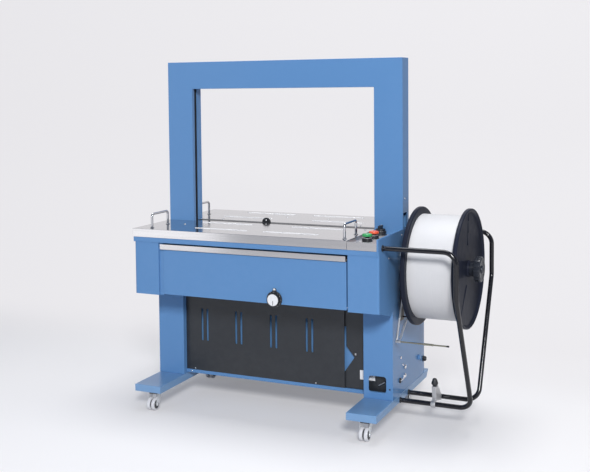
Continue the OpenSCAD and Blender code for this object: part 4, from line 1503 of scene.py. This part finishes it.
@dataclass
class Dancer:
    """The sprung arm that the strap runs over on its way in."""

    pivot: Pair = (-68.0, 533.0)
    end: Pair = (-155.0, 360.0)
    anchor: Pair = (-51.0, 437.0)
    x: float = 554.0
    thick: float = 5.0
    half: float = 5.5
    reach: float = 770.0
    turns: int = 24
    spring_radius: float = 4.0
    wire: float = 0.9

    def arm(self) -> None:
        """Builds the flat arm with its pivot hub and its boss."""
        shape = Shape()
        (py, pz), (ey, ez) = self.pivot, self.end
        heading = math.degrees(math.atan2(ez - pz, ey - py))
        outline = arc(self.pivot, self.half, heading + 90, 180, 12)
        outline += arc(self.end, self.half, heading - 90, 180, 12)
        shape.prism(outline, Axis.X, self.x, self.x + self.thick, 0.7, 2)
        hub = [(0, 6.1), (0, 9.2), (0.8, 10), (4.2, 10), (5, 9.2), (5, 6.1), (0, 6.1)]
        shape.turned(hub, (self.x, py, pz), RIGHT, 40)
        shape.rod((self.x + self.thick - 0.5, ey, ez), (self.x + 19, ey, ez), 6.0, 0.8)
        make_piece("dancer_arm_bar", shape, Paints.ZINC, Body.DANCER, ["dancer_arm"])

    def cross_rod(self) -> None:
        """Builds the rod that the strap runs over, its dark tip and its guide bush."""
        rod, tip, bush = Shape(), Shape(), Shape()
        rod.rod((self.x + 18, *self.end), (self.reach - 10, *self.end), 3.0, 0.5)
        make_piece("dancer_rod", rod, Paints.OLIVE, Body.DANCER)
        tip.rod((self.reach - 11, *self.end), (self.reach, *self.end), 3.5, 1.0)
        make_piece("dancer_rod_tip", tip, Paints.PLASTIC, Body.DANCER)
        profile = [
            (0, 3.1), (0, 4.6), (1.0, 5.0), (3, 4.4), (30, 4.2), (33, 4.4), (35, 5.0), (36, 4.6), (36, 3.1),
            (0, 3.1),
        ]
        bush.turned(profile, (self.reach - 100, *self.end), RIGHT, 36)
        make_piece("dancer_guide_bush", bush, Paints.OLIVE, Body.DANCER)

    def spring(self) -> None:
        """Builds the tension spring between the arm's boss and the fixed pin."""
        x = self.x + self.thick + 9
        low, high = Vector((x, *self.end)), Vector((x, *self.anchor))
        along = (high - low).normalized()
        start, finish = low + along * 7.2, high - along * 4.2
        across = Vector((0, -along.z, along.y))
        steps = self.turns * 14
        path = [start]
        for i in range(steps + 1):
            a = math.tau * self.turns * i / steps
            offset = (RIGHT * math.cos(a) + across * math.sin(a)) * self.spring_radius
            path.append(start + (finish - start) * (0.1 + 0.8 * i / steps) + offset)
        path.append(finish)
        shape = Shape()
        shape.tube(path, self.wire, 8)
        make_piece("dancer_spring_coil", shape, Paints.ZINC, Body.DANCER, ["dancer_spring"], 80.0)

    def build(self) -> None:
        """Builds the dancer."""
        self.arm()
        self.cross_rod()
        self.spring()


@dataclass
class BrakeLever:
    """The cast lever on the guard's foot with its knob and the pale sleeve of its hub."""

    x: float = 680.0
    y: float = -63.0
    z: float = 96.0
    top: float = 164.0
    half: float = 9.0
    ribs: tuple[Pair, ...] = ((60.0, 39.0), (40.0, 58.0), (24.0, 72.0))

    def build(self) -> None:
        """Builds the casting, the sleeve and the knob."""
        cast, sleeve, knob = Shape(), Shape(), Shape()
        x, y, z, top = self.x, self.y, self.z, self.top
        hub = [(-8.5, 9.7), (-8.5, 13.0), (-7.5, 14), (7.5, 14), (8.5, 13.0), (8.5, 9.7), (-8.5, 9.7)]
        cast.turned(hub, (x, y, z), RIGHT, 48)
        blade = [
            (y - 3, z + 10.4), (y + 9.6, z + 4), (y + 16, z + 9), (y + 86, z - 7), (y + 90, z + 14),
            (y + 38, top), (y + 7, top), (y + 12, z + 14),
        ]
        cast.prism(blade, Axis.X, x - self.half, x + self.half, 2.0, 3)
        face = x + self.half - 0.8
        for height, reach in self.ribs:
            cast.rod((face, y + 16, z + height - 6), (face, y + reach, z + height - 22), 1.3, 0.3, 12)
        make_piece("lever_casting", cast, Paints.CAST, Body.LEVER, ["foot_lever"])
        ring = [(-8.9, 9.7), (-8.9, 12.2), (-8.3, 12.4), (8.3, 12.4), (8.9, 12.2), (8.9, 9.7), (-8.9, 9.7)]
        sleeve.turned(ring, (x, y, z), RIGHT, 40)
        make_piece("lever_sleeve", sleeve, Paints.WHITE, Body.LEVER)
        grip = [
            (0, 0), (0, 8.6), (4.6, 9), (5.4, 11), (7.5, 12.8), (11, 13.4), (14, 13), (22, 10.6), (26, 9.2),
            (30, 6.8), (31.6, 4), (32, 0),
        ]
        knob.turned(grip, (x, y + 20, top), UP, 40)
        make_piece("lever_knob_grip", knob, Paints.PLASTIC, Body.LEVER, ["lever_knob"])


# ---------------------------------------------------------------- casters


@dataclass
class Caster:
    """One twin-wheel swivel caster."""

    corner: str
    x: float
    y: float
    trail: float = 20.0
    wheel: float = 27.0
    width: float = 15.0
    gap: float = 6.0
    top: float = 88.0
    sheet: float = 2.5
    head_height: float = 18.0
    side_play: float = 0.7

    @property
    def axle(self) -> Vector:
        """The middle of the two wheels' axle."""
        return Vector((self.x, self.y - self.trail, self.wheel))

    def fork(self) -> None:
        """Builds the swivel head, the crown with dark strips of painted shade along its front edge and down
        the right end of its front, and the two pressed cheeks.
        """
        shape, shade_strip = Shape(), Shape()
        x, y, top, crown = self.x, self.y, self.top, self.top - self.head_height
        half = self.width + self.gap / 2 + self.side_play
        out = half + self.sheet
        head = [
            (crown + 2, 0), (crown + 2, 18.5), (crown + 4, 20), (crown + 7, 20), (crown + 8.4, 17),
            (crown + 14, 16.6), (top - 0.4, 15), (top - 0.4, 6), (top + 10, 6), (top + 10, 0),
        ]
        shape.turned(head, (x, y, 0), UP, 40)
        shape.block((x - out, y - 19.5, crown), (x + out, y + 18, crown + 3), 1.0, 2)
        # painted shade: dark strips along the crown's front edge and down the right end of its front, where
        # shade falls
        shade_strip.block((x - out, y - 20, crown - 1.5), (x + out, y - 17, crown + 3.2), 0.8, 2)
        shade_strip.block((x + out - 6, y - 20, crown - 13.5), (x + out, y - 17.5, crown), 0.8, 2)
        body = self.corner + "_fork"
        make_piece(self.corner + "_caster_painted_shade_strip", shade_strip, Paints.HUB, body)
        axle = self.axle
        cheek = [(y + 18, crown + 2.5), (y - 20, crown + 2.5), *arc((axle.y, axle.z), 8, 180, 180, 8)]
        for start in (x - out, x + half):
            shape.prism(cheek, Axis.X, start, start + self.sheet, 0.6, 2)
        rivet = [(0, 5.6), (1.2, 5.4), (2.0, 4.2), (2.2, 0)]
        for side in (-1, 1):
            shape.turned(rivet, axle + RIGHT * side * out, RIGHT * side, 24)
        shape.rod(axle - RIGHT * (half + 2), axle + RIGHT * (half + 2), 4.0, 0.3, 24)
        make_piece(self.corner + "_caster_fork", shape, Paints.FORK, body, [body])

    def wheels(self) -> None:
        """Builds the two wheels with their treads, dished webs and hubs."""
        treads, hubs = Shape(), Shape()
        body, axle = self.corner + "_wheel", self.axle
        w, r = self.width, self.wheel
        tread = [
            (0.4, 19), (0, 21), (0.6, r - 2.2), (2.4, r - 0.4), (5, r), (w - 5, r), (w - 2.4, r - 0.4),
            (w - 0.6, r - 2.2), (w, 21), (w - 0.6, 19), (0.4, 19),
        ]
        hub = [
            (0.8, 4.1), (0.8, 19.2), (w - 0.8, 19.2), (w - 2.2, 17.5), (w - 3.2, 15), (w - 3.2, 10),
            (w - 0.6, 8.4), (w - 0.6, 4.1), (0.8, 4.1),
        ]
        for side in (-1, 1):
            inner = axle + RIGHT * side * self.gap / 2
            treads.turned(tread, inner, RIGHT * side, 56)
            hubs.turned(hub, inner, RIGHT * side, 48)
        hubs.rod(axle - RIGHT * 4, axle + RIGHT * 4, 10.0, 0.4)
        make_piece(self.corner + "_treads", treads, Paints.TYRE, body, [self.corner + "_wheels"])
        make_piece(self.corner + "_hubs", hubs, Paints.HUB, body)

    def build(self) -> None:
        """Builds the caster."""
        self.fork()
        self.wheels()


# ---------------------------------------------------------------- mechanism and hardware


@dataclass
class Mechanism:
    """The parts of the sealing head that turn, and the motor behind it."""

    cam_z: float = 640.0
    feed_x: float = 120.0
    plates: Pair = (-27.5, 40.0)
    plate: float = 8.0
    strap_y: float = -9.0
    cams_across: int = 4
    cam: float = 26.0
    lobe: float = 24.0
    throw: float = 9.0
    tread: float = 14.4
    motor_gap: float = 16.0
    gearbox_half: float = 50.0
    gearbox_y: Pair = (20.0, 90.0)
    foot_half: float = 40.0
    foot_z: float = 506.5
    motor_barrel: float = 38.0
    motor_fin: float = 43.4
    motor_fins: int = 11
    bolt_reach: float = 40.0

    def shaft_ends(self) -> Pair:
        """The outer faces of the two side plates."""
        return self.plates[0], self.plates[1] + self.plate

    def cams(self) -> None:
        """Builds the cam shaft and its eccentric cams."""
        front, back = self.shaft_ends()
        z = self.cam_z
        shape = Shape()
        shape.rod((0, front - 8, z), (0, back + 14, z), 10.0, 0.8, 40)
        for i in range(self.cams_across):
            a, y = math.radians(75 * i), front + 12 + 13 * i
            shape.rod((0, y, z), (0, y + 9, z), self.cam, 0.6, 56)
            lobe = (self.throw * math.cos(a), y, z - self.throw * math.sin(a))
            near = [(0.1, 0), (0.1, self.lobe - 0.5), (0.7, self.lobe)]
            far = [(8.3, self.lobe), (8.9, self.lobe - 0.5), (8.9, 0)]
            shape.turned(near + far, lobe, BACK, 56)
        make_piece("cam_stack", shape, Paints.GROUND, Body.CAMS, ["cam_shaft"])

    def roller(
        self, name: str, node: str, body: Body, z: float, radius: float, finish: Finish, ribs: int
    ) -> None:
        """Builds a strap roller on its shaft.

        Args:
            name: the piece's name.
            node: the node that it stands for.
            body: the body that carries it.
            z: the height of its axis.
            radius: its radius.
            finish: its finish.
            ribs: the number of ribs across its tread.
        """
        front, back = self.shaft_ends()
        shape = Shape()
        shape.rod((self.feed_x, front - 4, z), (self.feed_x, back + 4, z), 6.0, 0.6, 32)
        profile: list[Pair] = [(-8, 6), (-8, radius - 0.8)]
        step, groove = self.tread / ribs, radius - 0.6
        for i in range(ribs):
            y = i * step - self.tread / 2
            profile += [(y, radius), (y + step * 0.6, radius)]
            profile += [(y + step * 0.7, groove), (y + step * 0.9, groove)]
        profile += [(8, radius - 0.8), (8, 6)]
        shape.turned(profile, (self.feed_x, self.strap_y, z), BACK, 64)
        make_piece(name, shape, finish, body, [node])

    def motor(self) -> None:
        """Builds the gearbox with its foot, its finned motor and the bolts of its flange."""
        cast, bolts = Shape(), Shape()
        z, y = self.cam_z, self.plates[1] + self.plate + self.motor_gap
        cast.turned([(0, 0), (0, 29), (1, 30), (20.5, 30), (20.5, 0)], (0, y, z), BACK, 48)
        box, foot, barrel, fin = self.gearbox_half, self.foot_half, self.motor_barrel, self.motor_fin
        near, far = y + self.gearbox_y[0], y + self.gearbox_y[1]
        cast.block((-box, near, z - box), (box, far, z + box), 5, 3)
        cast.block((-foot, near + 6, self.foot_z), (foot, far - 6, z - box + 1), 2, 2)
        profile: list[Pair] = [(89, 0), (89, barrel)]
        for i in range(self.motor_fins):
            start = 94 + i * 9
            profile += [(start, barrel), (start + 1, fin), (start + 4, fin), (start + 5, barrel)]
        profile += [(196, barrel), (196, 43), (198, 44), (207, 44), (209, 42), (210, 36), (210, 0)]
        cast.turned(profile, (0, y, z), BACK, 48)
        cast.block((-22, y + 110, z + 34), (22, y + 160, z + fin + 0.4), 2, 2)
        make_piece("gear_motor_cast", cast, Paints.MOTOR, Body.MACHINE, ["gear_motor"])
        for x in (-self.bolt_reach, self.bolt_reach):
            for rise in (-self.bolt_reach, self.bolt_reach):
                bolts.hexagon((x, near, z + rise), FRONT, 9, 4)
        make_piece("gear_motor_bolts", bolts, Paints.ZINC, Body.MACHINE)

    def build(self) -> None:
        """Builds the mechanism."""
        self.cams()
        low, high = self.cam_z, self.cam_z + 39
        self.roller("feed_roller_tread", "feed_roller", Body.FEED, low, 23.85, Paints.RUBBER, 5)
        self.roller("pinch_roller_tread", "pinch_roller", Body.PINCH, high, 14.85, Paints.GROUND, 4)
        self.motor()


@dataclass
class Hardware:
    """Screws, bolts and small fittings on the covers and the stand."""

    upright_out: float = 541.0
    upright_front: float = -155.0
    panel_front: float = -130.0
    recess_front: float = -122.0
    cover_out: float = 548.0
    arch_out: float = 547.0
    knobs: tuple[Pair, ...] = ((-8.0, 219.0), (-11.0, 183.0))
    knob_button: Pair = (-58.0, 269.0)
    knob_bolt: Pair = (-30.0, 232.0)
    cable_gland: Pair = (262.0, 183.0)
    pin_gland: Pair = (-67.0, 177.0)
    panel_screws: tuple[Pair, ...] = ((-374.0, 144.0), (198.0, 144.0), (-393.0, 130.0))
    cover_screws: tuple[Pair, ...] = ((-60.0, 770.0), (300.0, 700.0), (-220.0, 700.0), (300.0, 540.0))
    arch_screw: Pair = (-12.0, 912.0)
    connector: tuple[Pair, Pair] = ((182.0, 198.0), (200.0, 216.0))
    upright_plug: Pair = (528.0, 162.0)
    lip_screw_at: Triple = (474.0, -342.0, 760.0)
    label: tuple[Pair, Pair] = ((390.0, 180.0), (455.0, 218.0))
    recess_plug: tuple[Pair, Pair] = ((368.0, 277.0), (376.0, 286.0))
    latch: tuple[Pair, Pair] = ((475.0, 168.0), (501.0, 183.0))
    gate_dot: Triple = (-99.0, 26.5, 789.0)

    def side_fittings(self) -> None:
        """Builds the fittings on the outside of the right upright."""
        bright, dark, pin, plug = Shape(), Shape(), Shape(), Shape()
        x = self.upright_out
        knob = [(0, 6), (0, 8.4), (1, 9), (5.5, 9), (7.4, 7.6), (8, 4), (8, 0)]
        for place in self.knobs:
            bright.turned(knob, (x, *place), RIGHT, 32)
        bright.turned([(0, 4), (0, 6), (2, 6.4), (4, 5), (4.4, 0)], (x, *self.knob_button), RIGHT, 24)
        bright.hexagon((x, *self.knob_bolt), RIGHT, 9, 4)
        make_piece("side_knobs", bright, Paints.CHROME, Body.MACHINE)
        gland = [(0, 7), (0, 12), (1.5, 13), (4, 13), (5, 11), (12, 10.6), (15, 9), (16, 6), (16, 0)]
        dark.turned(gland, (x - 3, *self.cable_gland), RIGHT, 32)
        gland = [(0, 5), (0, 10), (1.6, 10.4), (5, 9.4), (6, 7.6), (6, 5), (0, 5)]
        dark.turned(gland, (x, *self.pin_gland), RIGHT, 28)
        make_piece("side_glands", dark, Paints.PLASTIC, Body.MACHINE)
        bent = [(x + 4, -64, 176), (x + 6, -34, 176), (x + 6, -26, 187)]
        pin.tube(rounded_path(bent, 4.0, 6), 2.2, 12)
        make_piece("side_pin", pin, Paints.WHITE, Body.MACHINE)
        low, high = self.connector
        plug.block((x, *low), (x + 9, *high), 1.5, 2)
        make_piece("side_connector", plug, Paints.BLUE, Body.MACHINE)

    def screws(self) -> None:
        """Builds the small screws of the covers, the pool panel and the arch, and the upright's plug."""
        front, side, plug = Shape(), Shape(), Shape()
        for x, z in self.panel_screws:
            front.screw((x, self.panel_front, z), FRONT, 3.0)
        make_piece("frame_screws", front, Paints.ZINC, Body.MACHINE)
        for place in self.cover_screws:
            side.screw((self.cover_out, *place), RIGHT, 3.0)
        side.screw((self.arch_out, *self.arch_screw), RIGHT, 3.4)
        make_piece("side_screws", side, Paints.ZINC, Body.MACHINE)
        x, z = self.upright_plug
        profile = [(-0.2, 0), (-0.2, 3.4), (0.4, 3.2), (0.5, 0)]
        plug.turned(profile, (x, self.upright_front, z), FRONT, 16)
        make_piece("upright_plug", plug, Paints.PLASTIC, Body.MACHINE)

    def lip_screw(self) -> None:
        """Builds the screw of the operator panel's steel lip."""
        shape = Shape()
        shape.screw(self.lip_screw_at, FRONT, 2.6)
        make_piece("lip_screw", shape, Paints.ZINC, Body.MACHINE)

    def recess_parts(self) -> None:
        """Builds the bare label, the plug and the latch pin on the plate beside the strap pool."""
        label, plug, pin = Shape(), Shape(), Shape()
        face, front = self.recess_front, self.panel_front - 5
        (left, low), (right, high) = self.label
        label.block((left, face - 0.6, low), (right, face + 0.2, high), 0.2, 1)
        make_piece("recess_label", label, Paints.WHITE, Body.MACHINE)
        (left, low), (right, high) = self.recess_plug
        plug.block((left, face - 3, low), (right, face + 0.2, high), 1.0, 2)
        make_piece("recess_plug", plug, Paints.GROUND, Body.MACHINE)
        (left, low), (right, high) = self.latch
        pin.rod((left, front, low), (right, front, high), 2.2, 0.5, 16)
        x, z = (left + right) / 2, (low + high) / 2
        pin.rod((x, face + 0.5, z), (x, front, z), 2.0, 0.4, 16)
        make_piece("latch_pin", pin, Paints.ZINC, Body.MACHINE)

    def gate_mark(self) -> None:
        """Builds the white dot on the half-round strap gate."""
        shape = Shape()
        shape.turned([(-0.2, 0), (-0.2, 3.2), (0.5, 3.0), (0.6, 0)], self.gate_dot, FRONT, 20)
        make_piece("gate_dot", shape, Paints.WHITE, Body.MACHINE)

    def build(self) -> None:
        """Builds the hardware."""
        self.side_fittings()
        self.screws()
        self.lip_screw()
        self.recess_parts()
        self.gate_mark()


# ---------------------------------------------------------------- studio


@dataclass(frozen=True)
class SoftBox:
    """A lamp with a rectangular face, in metres and watts."""

    name: str
    at: Triple
    target: Triple
    size: Pair
    watts: float

    def build(self) -> None:
        """Hangs the lamp and points it at its target."""
        data = bpy.data.lights.new(self.name, "AREA")
        data.shape = "RECTANGLE"
        data.size, data.size_y = self.size
        data.energy = self.watts
        lamp = bpy.data.objects.new(self.name, data)
        aim = Vector(self.target) - Vector(self.at)
        turn = aim.to_track_quat("-Z", "Y").to_matrix().to_4x4()
        lamp.matrix_world = Matrix.Translation(Vector(self.at)) @ turn
        bpy.context.scene.collection.objects.link(lamp)


@dataclass
class Studio:
    """The camera, the paper floor and backdrop, the lamps and the surroundings, in metres."""

    camera_at: Triple = (1.59503, -3.77434, 1.35009)
    sensor: float = 36.0
    lens: float = 59.24136
    yaw_deg: float = 24.282
    pitch_deg: float = -3.218
    roll_deg: float = -0.522
    rise: float = -0.152542
    paper_front: float = -8.0
    paper_half: float = 9.0
    paper_top: float = 7.0
    wall_y: float = 2.0
    cove: float = 1.2
    paper_colour: Triple = (0.665, 0.653, 0.652)
    wall_colour: Triple = (0.08, 0.08, 0.08)
    glow_colour: Triple = (0.97, 0.955, 0.985)
    paper_glow: Pair = (0.24, 0.775)
    fade: Pair = (0.4, 1.1)
    paper_end: Pair = (1.13, 1.35)
    view_slope: float = 0.13
    paper_lift: Pair = (0.06, 0.2)
    sky_light: Triple = (0.19, 0.23, 0.30)
    sky_seen: Triple = (0.76, 0.755, 0.775)
    lamps: tuple[SoftBox, ...] = (
        SoftBox("key_box", (3.66, -7.16, 4.72), (0.0, 0.0, 0.7), (1.5, 1.5), 600.0),
        SoftBox("top_box", (0.2, 0.3, 4.6), (0.0, 0.3, 0.0), (2.2, 2.2), 115.0),
        SoftBox("side_box", (-3.0, -3.7, 1.05), (0.0, 0.0, 0.8), (1.6, 2.2), 11.5),
        SoftBox("right_box", (4.2, -0.6, 1.1), (0.5, 0.0, 0.5), (1.8, 1.8), 9.0),
    )

    def camera(self) -> None:
        """Sets the camera at the viewing angle."""
        yaw, pitch, roll = (math.radians(a) for a in (self.yaw_deg, self.pitch_deg, self.roll_deg))
        ahead = Vector((-math.sin(yaw) * math.cos(pitch), math.cos(yaw) * math.cos(pitch), math.sin(pitch)))
        level = ahead.cross(UP).normalized()
        upright = level.cross(ahead)
        across = level * math.cos(roll) + upright * math.sin(roll)
        above = upright * math.cos(roll) - level * math.sin(roll)
        data = bpy.data.cameras.new("camera")
        data.sensor_width = self.sensor
        data.lens = self.lens
        data.shift_y = self.rise
        data.clip_end = 100.0
        camera = bpy.data.objects.new("camera", data)
        columns = Matrix((across, above, -ahead)).transposed()
        camera.matrix_world = Matrix.Translation(Vector(self.camera_at)) @ columns.to_4x4()
        bpy.context.scene.collection.objects.link(camera)
        bpy.context.scene.camera = camera

    def paper_mesh(self) -> bpy.types.Mesh:
        """The floor and the wall with a wide cove between them.

        Returns:
            Their mesh.
        """
        bend = arc((self.wall_y - self.cove, self.cove), self.cove, -90, 90, 16)
        line = [(self.paper_front, 0.0), *bend, (self.wall_y, self.paper_top)]
        mesh = bmesh.new()
        verts = [mesh.verts.new((-self.paper_half, y, z)) for y, z in line]
        edges = [mesh.edges.new(pair) for pair in zip(verts, verts[1:])]
        grown = bmesh.ops.extrude_edge_only(mesh, edges=edges)["geom"]
        bmesh.ops.translate(mesh, vec=RIGHT * 2 * self.paper_half, verts=new_verts(grown))
        bmesh.ops.recalc_face_normals(mesh, faces=mesh.faces)
        mesh.faces.ensure_lookup_table()
        if mesh.faces[0].normal.z < 0:
            bmesh.ops.reverse_faces(mesh, faces=mesh.faces)
        data = bpy.data.meshes.new("backdrop")
        mesh.to_mesh(data)
        mesh.free()
        data.shade_smooth()
        return data

    def paper_material(self) -> bpy.types.Material:
        """The paper, which glows for the camera and for mirrors and is clear from behind.

        Returns:
            Its material.
        """
        material = bpy.data.materials.new("pale_paper")
        material.use_nodes = True
        graph = Graph(material.node_tree)
        shader = material.node_tree.nodes["Principled BSDF"].inputs
        graph.join(0.8, shader["Roughness"])
        graph.join(0.1, shader["Specular IOR Level"])
        graph.join(self.glow_colour, shader["Emission Color"])
        behind = graph.node("NewGeometry").outputs["Backfacing"]
        graph.join(graph.calc("SUBTRACT", 1.0, behind), shader["Alpha"])
        place = graph.node("SeparateXYZ", {0: graph.node("TexCoord").outputs["Object"]}).outputs
        climb = graph.ramp(place[1], self.fade)
        graph.join(graph.blend(climb, self.paper_colour, self.wall_colour), shader["Base Color"])
        slant = graph.calc("MULTIPLY_ADD", place[1], self.view_slope, place[0])
        side = graph.ramp(slant, self.paper_end, (0.0, 0.9))
        lost = graph.calc("MULTIPLY", side, graph.ramp(place[2], self.paper_lift))
        kept = graph.calc("SUBTRACT", 1.0, lost)
        path = graph.node("LightPath").outputs
        seen = graph.calc("ADD", path["Is Camera Ray"], graph.calc("MULTIPLY", path["Is Glossy Ray"], kept))
        seen = graph.calc("ADD", seen, path["Is Transmission Ray"])
        level = graph.ramp(place[1], self.fade, self.paper_glow)
        graph.join(graph.calc("MULTIPLY", seen, level), shader["Emission Strength"])
        return material

    def backdrop(self) -> None:
        """Sets the paper behind and under the machine."""
        data = self.paper_mesh()
        data.materials.append(self.paper_material())
        paper = bpy.data.objects.new("backdrop", data)
        bpy.context.scene.collection.objects.link(paper)

    def sky(self) -> None:
        """Sets an even cool surrounding, which looks pale where the camera sees it."""
        world = bpy.data.worlds.new("studio")
        world.use_nodes = True
        graph = Graph(world.node_tree)
        seen = graph.node("LightPath").outputs["Is Camera Ray"]
        background = world.node_tree.nodes["Background"].inputs
        graph.join(graph.blend(seen, self.sky_light, self.sky_seen), background[0])
        graph.join(1.0, background[1])
        bpy.context.scene.world = world

    def build(self) -> None:
        """Builds the studio."""
        self.camera()
        self.backdrop()
        for lamp in self.lamps:
            lamp.build()
        self.sky()
        bpy.context.scene.view_settings.view_transform = "Standard"


def main() -> None:
    """Builds the machine and its studio."""
    logging.basicConfig(level=logging.INFO, format="%(name)s: %(message)s")
    bpy.context.view_layer.update()
    studio = Studio()
    studio.build()
    reel = StrapReel()
    corners = [
        (f"{row}_{side}", x, y)
        for row, y in (("front", -290.0), ("back", 214.0))
        for side, x in (("left", -479.0), ("right", 479.0))
    ]
    casters = [Caster(*corner) for corner in corners]
    assemblies = [
        SheetMetal(),
        TableFittings(),
        Controls(),
        TensionDial(),
        reel,
        ReelGuard(reel),
        Dancer(),
        BrakeLever(),
        *casters,
        Mechanism(),
        Hardware(),
    ]
    for assembly in assemblies:
        log.info("building %s", type(assembly).__name__)
        assembly.build()
    bpy.context.view_layer.update()


if __name__ == "__main__":
    main()
